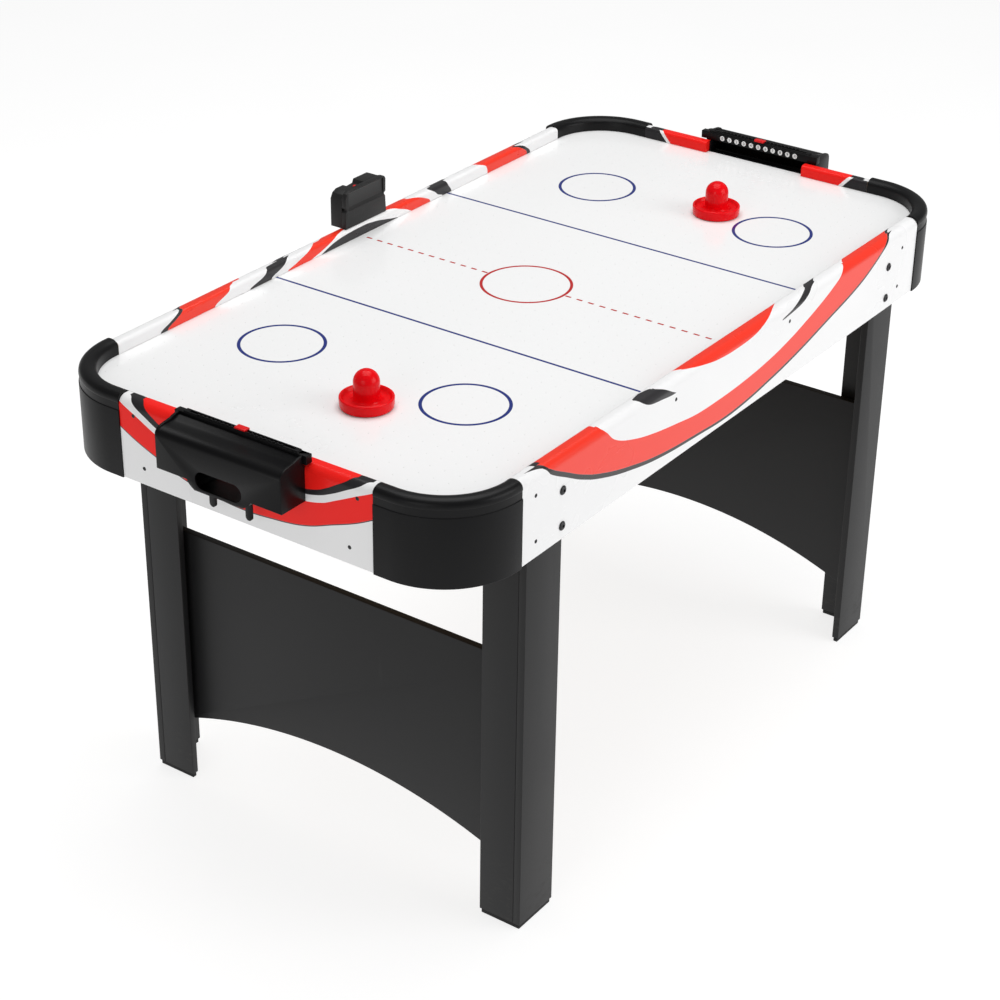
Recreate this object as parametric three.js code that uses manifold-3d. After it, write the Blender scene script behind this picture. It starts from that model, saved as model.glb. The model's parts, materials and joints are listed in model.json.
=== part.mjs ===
// Air hockey table, millimetres, +Z up.
// +X runs along the table, +Y across it; the floor is Z = 0 and the middle of the table is X = Y = 0.
import * as THREE from 'three'
import { mergeVertices } from 'three/addons/utils/BufferGeometryUtils.js'
import Module from 'manifold-3d'

const wasm = await Module()
wasm.setup()

// ---------------------------------------------------------------- driving dimensions
const LENGTH = 1422 // outside of the end aprons
const WIDTH = 760 // outside of the side aprons
const RAIL_TOP = 787
const APRON_BOTTOM = 657
const APRON_THICK = 15
const RAIL_WIDE = 26 // rail width over the playfield
const RAIL_ROUND = 14 // outer top edge
const RAIL_EASE = 6 // inner top edge
const FIELD_TOP = 767
const FIELD_THICK = 12
const GAP = 0.3 // left between pieces that touch

const CORNER_RADIUS = 125 // of the table's plan
const CAP_ALONG_SIDE = 130
const CAP_ALONG_END = 150
const CAP_PROUD = 2

const LEG_FROM_END = 166
const LEG_SIDE_WIDE = 86
const LEG_END_WIDE = 74
const LEG_THICK = 12
const FOOT_HIGH = 8
const FOOT_INSET = 2
const LEG_TOP = 754

const PANEL_FROM_END = 190
const PANEL_THICK = 12
const PANEL_TOP = 455
const ARCH_END = 82
const ARCH_CROWN = 158

const BOLT_FROM_END = 228
const BOLT_HEIGHTS = [678, 734]
const BOLT_HEAD = 7
const BOLT_SHANK = 4

const MOUTH_HALF = 98
const BOX_HALF = 113
const BOX_DEEP = 51
const BOX_BOTTOM = 730
const PLATE_HALF = 119
const PLATE_TOP = 801
const PLATE_DEEP = 12
const PLATE_IN = 9 // inboard of the end face
const SCORE_PITCH = 14.2

const STRIKER_RADIUS = 40.5
const STRIKER_HIGH = 58
const STRIKER_KNOB = 19.6
const STRIKERS = { near: [-493, -47], far: [441, -69] }

const PLENUM_HIGH = 40
const PLENUM_WALL = 12
const PLENUM_FLOOR = 6
const BLOWER_RADIUS = 76
const BLOWER_X = -60

const SCORER_X = 17
const SCORER_WIDE = 106

const HALF_L = LENGTH / 2
const HALF_W = WIDTH / 2
const FIELD_BOTTOM = FIELD_TOP - FIELD_THICK
const PLENUM_TOP = FIELD_BOTTOM - GAP
const PLENUM_BOTTOM = PLENUM_TOP - PLENUM_HIGH
const DECK_TOP = PLENUM_BOTTOM - GAP
const DECK_BOTTOM = DECK_TOP - PLENUM_FLOOR
const ARC_X = HALF_L - CORNER_RADIUS
const ARC_Y = HALF_W - CORNER_RADIUS

// ---------------------------------------------------------------- materials
const paint = (color, roughness, metalness = 0) =>
  new THREE.MeshStandardMaterial({ color, roughness, metalness })
const whiteFilm = () => paint(0xf2f2f2, 0.35)
const whiteField = () => paint(0xf6f6f6, 0.2)
const blackPlastic = () => paint(0x1c1c1d, 0.38)
const blackBoard = () => paint(0x242425, 0.55)
const rawBoard = () => paint(0xb08d62, 0.85)
const redPlastic = () => paint(0xc8141b, 0.25)
const blackSteel = () => paint(0x2a2a2c, 0.4, 0.9)
const greySteel = () => paint(0x8c8f93, 0.35, 0.9)
const felt = () => paint(0x2f2f31, 0.95)

// ---------------------------------------------------------------- geometry helpers
const group = new THREE.Group()
group.name = 'air_hockey_table'

// A closed three.js geometry becomes a manifold solid, turned right side out.
function solid(geometry) {
  let g = geometry.clone()
  g.deleteAttribute('normal')
  g.deleteAttribute('uv')
  g = mergeVertices(g, 1e-4)
  const vertProperties = Float32Array.from(g.attributes.position.array)
  const triVerts = Uint32Array.from(g.index.array)
  if (signedVolume(vertProperties, triVerts) < 0) {
    for (let i = 0; i < triVerts.length; i += 3) {
      const keep = triVerts[i]
      triVerts[i] = triVerts[i + 1]
      triVerts[i + 1] = keep
    }
  }
  return new wasm.Manifold(new wasm.Mesh({ numProp: 3, vertProperties, triVerts }))
}

function signedVolume(p, t) {
  const a = new THREE.Vector3()
  const b = new THREE.Vector3()
  const c = new THREE.Vector3()
  let sum = 0
  for (let i = 0; i < t.length; i += 3) {
    a.fromArray(p, 3 * t[i])
    b.fromArray(p, 3 * t[i + 1])
    c.fromArray(p, 3 * t[i + 2])
    sum += a.dot(b.cross(c)) / 6
  }
  return sum
}

// Adds one named piece; sx and sy of -1 mirror a piece drawn in the +X +Y corner.
function add(name, body, material, sx = 1, sy = 1) {
  const m = body.getMesh()
  const position = new Float32Array((m.vertProperties.length / m.numProp) * 3)
  for (let i = 0; i < position.length / 3; i += 1) {
    position[3 * i] = m.vertProperties[m.numProp * i] * sx
    position[3 * i + 1] = m.vertProperties[m.numProp * i + 1] * sy
    position[3 * i + 2] = m.vertProperties[m.numProp * i + 2]
  }
  const index = Array.from(m.triVerts)
  if (sx * sy < 0) {
    for (let i = 0; i < index.length; i += 3) {
      const keep = index[i]
      index[i] = index[i + 1]
      index[i + 1] = keep
    }
  }
  const g = new THREE.BufferGeometry()
  g.setAttribute('position', new THREE.BufferAttribute(position, 3))
  g.setIndex(index)
  g.computeVertexNormals()
  const mesh = new THREE.Mesh(g, material)
  mesh.name = name
  group.add(mesh)
  return mesh
}

function block(x0, x1, y0, y1, z0, z1) {
  const g = new THREE.BoxGeometry(x1 - x0, y1 - y0, z1 - z0)
  g.translate((x0 + x1) / 2, (y0 + y1) / 2, (z0 + z1) / 2)
  return solid(g)
}

function extruded(points, depth, holes = []) {
  const shape = new THREE.Shape(points.map(([a, b]) => new THREE.Vector2(a, b)))
  for (const hole of holes) {
    shape.holes.push(new THREE.Path(hole.map(([a, b]) => new THREE.Vector2(a, b))))
  }
  return new THREE.ExtrudeGeometry(shape, { depth, bevelEnabled: false, curveSegments: 8 })
}

const X = new THREE.Vector3(1, 0, 0)
const Y = new THREE.Vector3(0, 1, 0)
const Z = new THREE.Vector3(0, 0, 1)

// Outline in (y, z), run along X.
function alongX(points, x0, x1) {
  const g = extruded(points, x1 - x0)
  g.applyMatrix4(new THREE.Matrix4().makeBasis(Y, Z, X))
  g.translate(x0, 0, 0)
  return solid(g)
}

// Outline in (x, z), run along Y.
function alongY(points, y0, y1) {
  const g = extruded(points, y1 - y0)
  g.applyMatrix4(new THREE.Matrix4().makeBasis(X, Z, Y.clone().negate()))
  g.translate(0, y1, 0)
  return solid(g)
}

// Outline in (x, y), run along Z.
function alongZ(points, z0, z1, holes = []) {
  const g = extruded(points, z1 - z0, holes)
  g.translate(0, 0, z0)
  return solid(g)
}

// Profile in (radius, z), turned about the vertical through (x, y).
function turned(profile, segments, x = 0, y = 0) {
  const g = new THREE.LatheGeometry(profile.map(([r, z]) => new THREE.Vector2(r, z)), segments)
  g.rotateX(Math.PI / 2)
  g.translate(x, y, 0)
  return solid(g)
}

// Cylinder between two heights along one axis ('x', 'y' or 'z').
function rod(axis, radius, from, to, p, q, segments = 24) {
  const g = new THREE.CylinderGeometry(radius, radius, to - from, segments)
  const mid = (from + to) / 2
  if (axis === 'x') {
    g.rotateZ(Math.PI / 2)
    g.translate(mid, p, q)
  } else if (axis === 'y') {
    g.translate(p, mid, q)
  } else {
    g.rotateX(Math.PI / 2)
    g.translate(p, q, mid)
  }
  return solid(g)
}

// Points of an arc from angle a to angle b, in degrees.
function arc(cx, cy, r, a, b, steps) {
  const points = []
  for (let i = 0; i <= steps; i += 1) {
    const t = ((a + ((b - a) * i) / steps) * Math.PI) / 180
    points.push([cx + r * Math.cos(t), cy + r * Math.sin(t)])
  }
  return points
}

// ---------------------------------------------------------------- apron and rail section
// Drawn outward from the middle of the table: `out` is the outer face.
function apronProfile(out) {
  return [
    [out - APRON_THICK, APRON_BOTTOM],
    [out, APRON_BOTTOM],
    ...arc(out - RAIL_ROUND, RAIL_TOP - RAIL_ROUND, RAIL_ROUND, 0, 90, 6),
    ...arc(out - RAIL_WIDE + RAIL_EASE, RAIL_TOP - RAIL_EASE, RAIL_EASE, 90, 180, 3),
    [out - RAIL_WIDE, FIELD_TOP + GAP],
    [out - APRON_THICK, FIELD_TOP + GAP]
  ]
}

// Side aprons: bolt holes for the legs; the +Y one also has the switch and inlet cut-outs.
const SWITCH = { x: -300, z: 712, wide: 20, high: 13 }
const INLET = { x: -270, z: 712, radius: 5 }
const SIDE_END = HALF_L - CAP_ALONG_SIDE - GAP
for (const [side, sy] of [['right', -1], ['left', 1]]) {
  let body = alongX(apronProfile(HALF_W), -SIDE_END, SIDE_END)
  for (const sx of [-1, 1]) {
    for (const z of BOLT_HEIGHTS) {
      const x = sx * (HALF_L - BOLT_FROM_END)
      body = body.subtract(rod('y', BOLT_SHANK + GAP, HALF_W - 40, HALF_W + 10, x, z, 12))
    }
  }
  if (side === 'left') {
    body = body.subtract(block(
      SWITCH.x - SWITCH.wide / 2 - 1, SWITCH.x + SWITCH.wide / 2 + 1,
      HALF_W - 40, HALF_W + 10,
      SWITCH.z - SWITCH.high / 2 - 1, SWITCH.z + SWITCH.high / 2 + 1
    ))
    body = body.subtract(rod('y', INLET.radius + GAP, HALF_W - 40, HALF_W + 10, INLET.x, INLET.z, 12))
  }
  add(`side_apron_${side}`, body, whiteFilm(), 1, sy)
}

// End aprons: the goal mouth is cut down through the rail.
const END_END = HALF_W - CAP_ALONG_END - GAP
const MOUTH_SILL = 733
for (const [end, sx] of [['near', -1], ['far', 1]]) {
  const cut = block(HALF_L - 60, HALF_L + 20, -MOUTH_HALF - 0.5, MOUTH_HALF + 0.5, MOUTH_SILL, 900)
  const body = alongY(apronProfile(HALF_L), -END_END, END_END).subtract(cut)
  add(`end_apron_${end}`, body, whiteFilm(), sx, 1)
}

// ---------------------------------------------------------------- corner caps
// Section of the moulded cap: `d` runs inward from its outer skin.
function capSection() {
  const outer = [
    [0, APRON_BOTTOM - 1],
    [0, 764],
    [1.3, 765.2],
    [1.3, 776],
    [0.6, 777.4],
    [1.3, 783],
    [5, 788],
    [14, 790.2],
    [23, 788],
    [27.4, 783],
    [28, FIELD_TOP + GAP]
  ]
  const inner = [
    [25.4, FIELD_TOP + GAP],
    [24.6, 781],
    [14, 787.2],
    [4.6, 781],
    [4, 661],
    [20, 661],
    [20, APRON_BOTTOM - 1]
  ]
  return [...outer, ...inner]
}

const CAP_OUT = CORNER_RADIUS + CAP_PROUD
const turnedSection = [...capSection().map(([d, z]) => [CAP_OUT - d, z]), [CAP_OUT, APRON_BOTTOM - 1]]
const ring = turned(turnedSection, 40, ARC_X, ARC_Y)
const quarter = ring.intersect(block(ARC_X, ARC_X + 400, ARC_Y, ARC_Y + 400, 0, 1000))
const capSide = alongX(
  capSection().map(([d, z]) => [HALF_W + CAP_PROUD - d, z]), HALF_L - CAP_ALONG_SIDE, ARC_X
)
const capEnd = alongY(
  capSection().map(([d, z]) => [HALF_L + CAP_PROUD - d, z]), HALF_W - CAP_ALONG_END, ARC_Y
)
const cap = quarter.add(capSide).add(capEnd)

// Corner block: joins side and end aprons behind the cap and carries the playfield corner.
const inSide = HALF_W - APRON_THICK - 0.5
const inEnd = HALF_L - APRON_THICK - 0.5
const skin = CAP_PROUD + CORNER_RADIUS - 4.7
const cornerBlock = alongZ([
  [HALF_L - LEG_FROM_END + 4, inSide - 32],
  [HALF_L - LEG_FROM_END + 4, inSide],
  [HALF_L - CAP_ALONG_SIDE + 1, inSide],
  [HALF_L - CAP_ALONG_SIDE + 1, ARC_Y + skin],
  ...arc(ARC_X, ARC_Y, skin, 90, 0, 10),
  [ARC_X + skin, HALF_W - CAP_ALONG_END + 1],
  [inEnd, HALF_W - CAP_ALONG_END + 1],
  [inEnd, 190],
  [inEnd - 32, 190],
  [inEnd - 32, 245],
  [inEnd - 118, inSide - 32]
], 661.5, FIELD_BOTTOM - GAP)

const CORNERS = [
  ['near_right', -1, -1],
  ['near_left', -1, 1],
  ['far_right', 1, -1],
  ['far_left', 1, 1]
]
for (const [corner, sx, sy] of CORNERS) {
  add(`corner_cap_${corner}`, cap, blackPlastic(), sx, sy)
  add(`corner_block_${corner}`, cornerBlock, rawBoard(), sx, sy)
}

// ---------------------------------------------------------------- playfield and air plenum
const fx = HALF_L - APRON_THICK - GAP
const fy = HALF_W - APRON_THICK - GAP
const fr = CORNER_RADIUS - APRON_THICK - GAP
const fieldOutline = [
  ...arc(ARC_X, ARC_Y, fr, 0, 90, 10),
  ...arc(-ARC_X, ARC_Y, fr, 90, 180, 10),
  ...arc(-ARC_X, -ARC_Y, fr, 180, 270, 10),
  ...arc(ARC_X, -ARC_Y, fr, 270, 360, 10)
]
add('playfield', alongZ(fieldOutline, FIELD_BOTTOM, FIELD_TOP), whiteField())

// The plenum steps in around the four legs.
function plenumOutline(inset) {
  const x2 = HALF_L - 62 - inset
  const x1 = HALF_L - 106 - inset * 0.6
  const x0 = HALF_L - 258 - inset
  const y2 = HALF_W - 20 - inset
  const y1 = HALF_W - 96 - inset
  const y0 = HALF_W - 140 - inset * 0.6
  const quadrant = [[x2, y0], [x1, y1], [x0, y1], [x0, y2]]
  const turn = (sx, sy) => quadrant.map(([x, y]) => [sx * x, sy * y])
  return [
    ...turn(1, 1), ...turn(-1, 1).reverse(), ...turn(-1, -1), ...turn(1, -1).reverse()
  ]
}
const plenumFrame = alongZ(plenumOutline(0), PLENUM_BOTTOM, PLENUM_TOP)
  .subtract(alongZ(plenumOutline(PLENUM_WALL), PLENUM_BOTTOM - 10, PLENUM_TOP + 10))
add('plenum_frame', plenumFrame, rawBoard())
const deck = alongZ(plenumOutline(0), DECK_BOTTOM, DECK_TOP)
  .subtract(rod('z', BLOWER_RADIUS - 12, 600, 760, BLOWER_X, 0, 28))
add('plenum_floor', deck, rawBoard())

// ---------------------------------------------------------------- legs, feet, end panels, bolts
const legOuter = HALF_L - LEG_FROM_END
const legFace = HALF_W - APRON_THICK - GAP
let legSide = block(
  legOuter - LEG_SIDE_WIDE, legOuter, legFace - LEG_THICK, legFace, FOOT_HIGH + GAP, LEG_TOP
)
for (const z of BOLT_HEIGHTS) {
  const x = HALF_L - BOLT_FROM_END
  legSide = legSide.subtract(rod('y', BOLT_SHANK + GAP, legFace - 30, legFace + 10, x, z, 12))
}
const legEnd = block(
  legOuter - LEG_THICK, legOuter,
  legFace - LEG_END_WIDE, legFace - LEG_THICK - GAP,
  FOOT_HIGH + GAP, LEG_TOP
)
const foot = alongZ([
  [legOuter - LEG_SIDE_WIDE + FOOT_INSET, legFace - LEG_THICK + FOOT_INSET],
  [legOuter - LEG_SIDE_WIDE + FOOT_INSET, legFace - FOOT_INSET],
  [legOuter - FOOT_INSET, legFace - FOOT_INSET],
  [legOuter - FOOT_INSET, legFace - LEG_END_WIDE + FOOT_INSET],
  [legOuter - LEG_THICK + FOOT_INSET, legFace - LEG_END_WIDE + FOOT_INSET],
  [legOuter - LEG_THICK + FOOT_INSET, legFace - LEG_THICK + FOOT_INSET]
].reverse(), 0, FOOT_HIGH)

// Button head outside, shank through the apron and the leg, drawn along +Y.
const boltFace = HALF_W + GAP
function legBolt(z) {
  const profile = [
    [0, legFace - LEG_THICK - 4],
    [BOLT_SHANK, legFace - LEG_THICK - 4],
    [BOLT_SHANK, boltFace],
    [BOLT_HEAD, boltFace],
    [BOLT_HEAD - 1.6, boltFace + 2],
    [BOLT_HEAD - 3.2, boltFace + 2.6],
    [0, boltFace + 2.6]
  ]
  const g = new THREE.LatheGeometry(profile.map(([r, y]) => new THREE.Vector2(r, y)), 12)
  g.translate(HALF_L - BOLT_FROM_END, 0, z)
  return solid(g)
}

for (const [corner, sx, sy] of CORNERS) {
  add(`leg_side_board_${corner}`, legSide, blackBoard(), sx, sy)
  add(`leg_end_board_${corner}`, legEnd, blackBoard(), sx, sy)
  add(`foot_${corner}`, foot, blackPlastic(), sx, sy)
  BOLT_HEIGHTS.forEach((z, i) => {
    add(`leg_bolt_${corner}_${i === 0 ? 'lower' : 'upper'}`, legBolt(z), blackSteel(), sx, sy)
  })
}

// End panels: straight top, arched bottom, held between the legs' side boards.
const panelHalf = legFace - LEG_THICK - GAP
const archRise = ARCH_CROWN - ARCH_END
const archRadius = (panelHalf * panelHalf + archRise * archRise) / (2 * archRise)
const archHalfAngle = (Math.asin(panelHalf / archRadius) * 180) / Math.PI
const archLine = arc(
  0, ARCH_CROWN - archRadius, archRadius, 90 + archHalfAngle, 90 - archHalfAngle, 22
)
for (const [end, sx] of [['near', -1], ['far', 1]]) {
  const outline = [...archLine, [panelHalf, PANEL_TOP], [-panelHalf, PANEL_TOP]].reverse()
  const x = HALF_L - PANEL_FROM_END
  add(`end_panel_${end}`, alongX(outline, x - PANEL_THICK, x), blackBoard(), sx, 1)
}

// ---------------------------------------------------------------- goals
const boxOut = HALF_L + BOX_DEEP
const plateBack = HALF_L - PLATE_IN + PLATE_DEEP
const shellBack = HALF_L + GAP

function shellProfile(top) {
  return [[shellBack, BOX_BOTTOM], [boxOut, BOX_BOTTOM], ...top,
    [plateBack + 0.4, RAIL_TOP], [shellBack, RAIL_TOP - 4]]
}

const shellTop = [
  [boxOut, 780.5], [boxOut - 1, 784.8], [boxOut - 3.6, 788.6], [boxOut - 8.5, 791.2],
  [boxOut - 15, 792.2], [boxOut - 24, 792.2], [boxOut - 32, 792.4], [boxOut - 37, 793.2],
  [plateBack + 3.5, 795.6], [plateBack + 0.4, 796.6]
]
const cheekTop = [
  [boxOut, 782], [boxOut - 1.2, 787], [boxOut - 5, 791.2], [boxOut - 11, 794],
  [boxOut - 20, 795.6], [boxOut - 30, 797], [boxOut - 37, 799.4], [plateBack + 0.4, PLATE_TOP]
]
const cavityTop = [
  [boxOut - 2.6, 780], [boxOut - 3.3, 783.6], [boxOut - 4.8, 786.2], [boxOut - 9.5, 788.6],
  [boxOut - 15, 789.5], [boxOut - 24, 789.5], [boxOut - 33, 789.8], [HALF_L - 12, 790.6]
]

let shell = alongY(shellProfile(shellTop), -BOX_HALF, BOX_HALF)
  .add(alongY(shellProfile(cheekTop), BOX_HALF - 3.5, BOX_HALF))
  .add(alongY(shellProfile(cheekTop), -BOX_HALF, -BOX_HALF + 3.5))
  .add(alongX(
    [[-58, 731], [-52, 723], [-44, 717.5], [44, 717.5], [52, 723], [58, 731]], shellBack, boxOut
  ))
shell = shell
  .subtract(alongY(
    [[HALF_L - 12, BOX_BOTTOM + 2.6], [boxOut - 2.6, BOX_BOTTOM + 2.6], ...cavityTop],
    -BOX_HALF + 3.5, BOX_HALF - 3.5
  ))
  .subtract(alongX(
    [[-56, 733], [-50, 725.2], [-43, 720.2], [43, 720.2], [50, 725.2], [56, 733]],
    shellBack - 12, boxOut - 2.6
  ))
const slotOutline = [
  ...arc(28.5, 736, 13.6, -90, 90, 8),
  ...arc(-28.5, 736, 13.6, 90, 270, 8)
]
shell = shell.subtract(alongX(slotOutline, boxOut - 12, boxOut + 12))
for (const y of [-33, 33]) {
  const lug = [[y - 5.5, 718.5], [y - 5.5, 690], ...arc(y, 690, 5.5, 180, 360, 6), [y + 5.5, 718.5]]
  shell = shell.add(alongX(lug, HALF_L + 24, HALF_L + 28))
}

// Liner of the mouth: U-shaped, with a sill level with the field that the puck slides over.
const linerIn = HALF_L - APRON_THICK + 1
const liner = alongX([
  [-MOUTH_HALF, 734], [MOUTH_HALF, 734], [MOUTH_HALF, RAIL_TOP - 1], [MOUTH_HALF - 2.4, RAIL_TOP - 1],
  [MOUTH_HALF - 2.4, 736.4], [-MOUTH_HALF + 2.4, 736.4], [-MOUTH_HALF + 2.4, RAIL_TOP - 1],
  [-MOUTH_HALF, RAIL_TOP - 1]
], linerIn, HALF_L + 6).add(alongY([
  [linerIn, 762.6], [HALF_L + 6, 761.8], [HALF_L + 6, 764.8], [linerIn + 2, 766.6], [linerIn, 766.6]
], -MOUTH_HALF + 1, MOUTH_HALF - 1))

// Number plate: bar over the rail with a groove for the pointer, hooked behind the apron face.
const plateIn = HALF_L - PLATE_IN
const plateUnder = RAIL_TOP + 0.4
let plate = block(plateIn, plateBack, -PLATE_HALF, PLATE_HALF, plateUnder, PLATE_TOP)
for (const s of [-1, 1]) {
  const y0 = s > 0 ? MOUTH_HALF + 1 : -BOX_HALF + 4.2
  const y1 = s > 0 ? BOX_HALF - 4.2 : -MOUTH_HALF - 1
  plate = plate.add(block(HALF_L + 0.4, plateBack, y0, y1, 762, plateUnder + 4))
}
const trackTop = PLATE_TOP + 2.6
const grooveIn = plateIn + 4
plate = plate
  .add(block(plateIn + 1.4, plateBack - 0.8, -PLATE_HALF + 16, PLATE_HALF - 16, PLATE_TOP - 1, trackTop))
  .subtract(block(grooveIn, grooveIn + 4, -95, 95, PLATE_TOP - 3, PLATE_TOP + 10))

const pointer = block(grooveIn + 0.4, grooveIn + 3.6, -8.6, 8.6, PLATE_TOP - 2.6, trackTop + 2)
  .add(alongY([
    [plateIn + 0.2, trackTop - 0.6], [plateIn + 1, trackTop - 0.6], [plateIn + 1, trackTop + 0.4],
    [plateBack - 0.6, trackTop + 0.4], [plateBack - 1, trackTop + 2.7],
    [plateIn + 1, trackTop + 3.2], [plateIn + 0.2, trackTop + 2.4]
  ].reverse(), -9.6, 9.6))

for (const [end, sx] of [['near', -1], ['far', 1]]) {
  add(`goal_box_${end}`, shell, blackPlastic(), sx, 1)
  add(`goal_liner_${end}`, liner, blackPlastic(), sx, 1)
  add(`score_plate_${end}`, plate, blackPlastic(), sx, 1)
  add(`score_pointer_${end}`, pointer, redPlastic(), sx, 1)
}

// ---------------------------------------------------------------- electronic scorer
// Two mouldings clipped together on the +Y rail, with a strap down the outside of the apron.
const sx0 = SCORER_X - SCORER_WIDE / 2
const sx1 = SCORER_X + SCORER_WIDE / 2
const SCORER_BOTTOM = RAIL_TOP + 0.4
const seam = HALF_W - 14
let scorerBack = alongY([
  [sx0, SCORER_BOTTOM], [sx1, SCORER_BOTTOM], [sx1, 842], [sx1 - 3, 849], [sx1 - 10, 852],
  [sx1 - 46, 852], [sx1 - 49, 845.5], [sx0 + 36, 844], [sx0 + 33, 849], [sx0 + 14, 849],
  [sx0 + 5, 845], [sx0, 836]
], seam + GAP, HALF_W + 10)
  .add(block(SCORER_X - 18, SCORER_X + 18, HALF_W + 0.4, HALF_W + 2.6, 748, 800))
scorerBack = scorerBack
  .subtract(block(sx0 + 3, sx1 - 3, seam - 4, HALF_W + 7, SCORER_BOTTOM + 3, 840))
  .subtract(rod('z', 4.4, 830, 860, SCORER_X - 10, HALF_W - 7.8, 14))
add('scorer_back', scorerBack, blackPlastic())

let scorerFront = alongY([
  [sx0 - 1, SCORER_BOTTOM], [sx1 + 1, SCORER_BOTTOM], [sx1 - 1, 816], [sx1 - 4, 819.5],
  [sx1 - 4, 821.5], [sx1, 824], [sx1 + 0.5, 846], [sx1 - 3, 851], [sx1 - 9, 852.5],
  [sx0 + 13, 852.5], [sx0 + 4, 848], [sx0, 840], [sx0, 824], [sx0 + 3, 821.5],
  [sx0 + 3, 819.5], [sx0, 816]
], seam - 8.5, seam)
scorerFront = scorerFront.subtract(
  alongX([[seam - 10, 818], [seam - 8, 818], [seam - 7, 823], [seam - 6.2, 826], [seam - 6.2, 846],
    [seam - 8, 849], [seam - 10, 849]].reverse(), sx0 + 8, sx1 - 6)
)
add('scorer_front', scorerFront, blackPlastic())
const button = turned(
  [[0, 836], [5.2, 836], [5.2, 838.6], [4, 838.6], [4, 848], [3.2, 849], [0, 849]],
  14, SCORER_X - 10, HALF_W - 7.8
)
add('scorer_button', button, redPlastic())

// ---------------------------------------------------------------- blower under the plenum
const BLOWER_TOP = DECK_BOTTOM - GAP
const bowl = turned([
  [42, 664], [BLOWER_RADIUS - 3, 664], [BLOWER_RADIUS - 3, BLOWER_TOP - 3],
  [BLOWER_RADIUS + 10, BLOWER_TOP - 3], [BLOWER_RADIUS + 10, BLOWER_TOP], [BLOWER_RADIUS - 5.5, BLOWER_TOP],
  [BLOWER_RADIUS - 5.5, 666.5], [42, 666.5], [42, 664]
], 28, BLOWER_X, 0)
let blower = bowl
for (let k = 0; k < 3; k += 1) {
  const g = new THREE.BoxGeometry(54, 7, 4)
  g.translate(46, 0, BLOWER_TOP - 2)
  g.rotateZ((k * 2 * Math.PI) / 3)
  g.translate(BLOWER_X, 0, 0)
  blower = blower.add(solid(g))
}
const collar = turned([
  [19, BLOWER_TOP - 16], [22, BLOWER_TOP - 16], [22, BLOWER_TOP], [19, BLOWER_TOP], [19, BLOWER_TOP - 16]
], 20, BLOWER_X, 0)
add('blower_housing', blower.add(collar), blackPlastic())
const SHAFT = 2.6
const motor = turned([
  [0, BLOWER_TOP - 8], [SHAFT + 0.1, BLOWER_TOP - 8], [SHAFT + 0.1, BLOWER_TOP - 17],
  [18.6, BLOWER_TOP - 17], [18.6, BLOWER_TOP + 9], [16, BLOWER_TOP + 11], [0, BLOWER_TOP + 11]
], 20, BLOWER_X, 0)
add('blower_motor', motor, greySteel())

const FAN_Z = 669
const BLADES = 12
const fanPlateTop = BLOWER_TOP - 18.5
const bore = SHAFT + 0.1
let impeller = turned([
  [bore, fanPlateTop - 3], [62, fanPlateTop - 3], [62, fanPlateTop], [bore, fanPlateTop],
  [bore, fanPlateTop - 3]
], 20, BLOWER_X, 0)
for (let k = 0; k < BLADES; k += 1) {
  const g = new THREE.BoxGeometry(20, 1.6, fanPlateTop - 2.5 - FAN_Z)
  g.rotateZ(0.55)
  g.translate(51, 0, (FAN_Z + fanPlateTop - 2.5) / 2)
  g.rotateZ((k * 2 * Math.PI) / BLADES)
  g.translate(BLOWER_X, 0, 0)
  impeller = impeller.add(solid(g))
}
add('impeller', impeller, greySteel())
const shaft = turned([
  [0, fanPlateTop - 4.5], [SHAFT, fanPlateTop - 4.5], [SHAFT, BLOWER_TOP - 9], [0, BLOWER_TOP - 9]
], 20, BLOWER_X, 0)
add('motor_shaft', shaft, greySteel())

// Inlet grille: rings and a cross in one moulding under the housing.
let grille = turned([[44, 659.7], [48, 659.7], [48, 663.7], [44, 663.7], [44, 659.7]], 20, BLOWER_X, 0)
for (const r of [14, 29]) {
  grille = grille.add(turned(
    [[r, 660], [r + 2, 660], [r + 2, 662.4], [r, 662.4], [r, 660]], 16, BLOWER_X, 0
  ))
}
for (const turn of [0, Math.PI / 2]) {
  const g = new THREE.BoxGeometry(92, 2.4, 2)
  g.rotateZ(turn)
  g.translate(BLOWER_X, 0, 661.4)
  grille = grille.add(solid(g))
}
add('blower_grille', grille, blackPlastic())

// ---------------------------------------------------------------- switch and power inlet
const plateOut = HALF_W + 2
const bezel = block(-322, -254, HALF_W + GAP, plateOut, 696, 728)
  .subtract(block(
    SWITCH.x - SWITCH.wide / 2, SWITCH.x + SWITCH.wide / 2, HALF_W - 5, HALF_W + 5,
    SWITCH.z - SWITCH.high / 2, SWITCH.z + SWITCH.high / 2
  ))
  .subtract(rod('y', INLET.radius, HALF_W - 5, HALF_W + 5, INLET.x, INLET.z, 12))
add('switch_plate', bezel, blackPlastic())

const ROCK = 7 // degrees either side of middle
add('rocker', rockerSolid(), redPlastic())

// Rocker outline in (x, y), standing across the window, tipped to its off side.
function rockerSolid() {
  const g = extruded(
    [[-9, 0.6], [-9, -0.6], [-5, -7], [5, -7], [9, -0.6], [9, 0.6], [0, -0.5]], SWITCH.high - 1.4
  )
  g.translate(0, 0, -(SWITCH.high - 1.4) / 2)
  g.rotateZ((-ROCK * Math.PI) / 180)
  g.translate(SWITCH.x, HALF_W + 0.6, SWITCH.z)
  return solid(g)
}

const jack = new THREE.LatheGeometry([
  [0, HALF_W - 13], [4.6, HALF_W - 13], [4.6, HALF_W + 2.6], [3.2, HALF_W + 2.6],
  [3.2, HALF_W - 8], [0, HALF_W - 8]
].map(([r, y]) => new THREE.Vector2(r, y)), 12)
jack.translate(INLET.x, 0, INLET.z)
add('power_inlet', solid(jack), blackPlastic())

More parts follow.
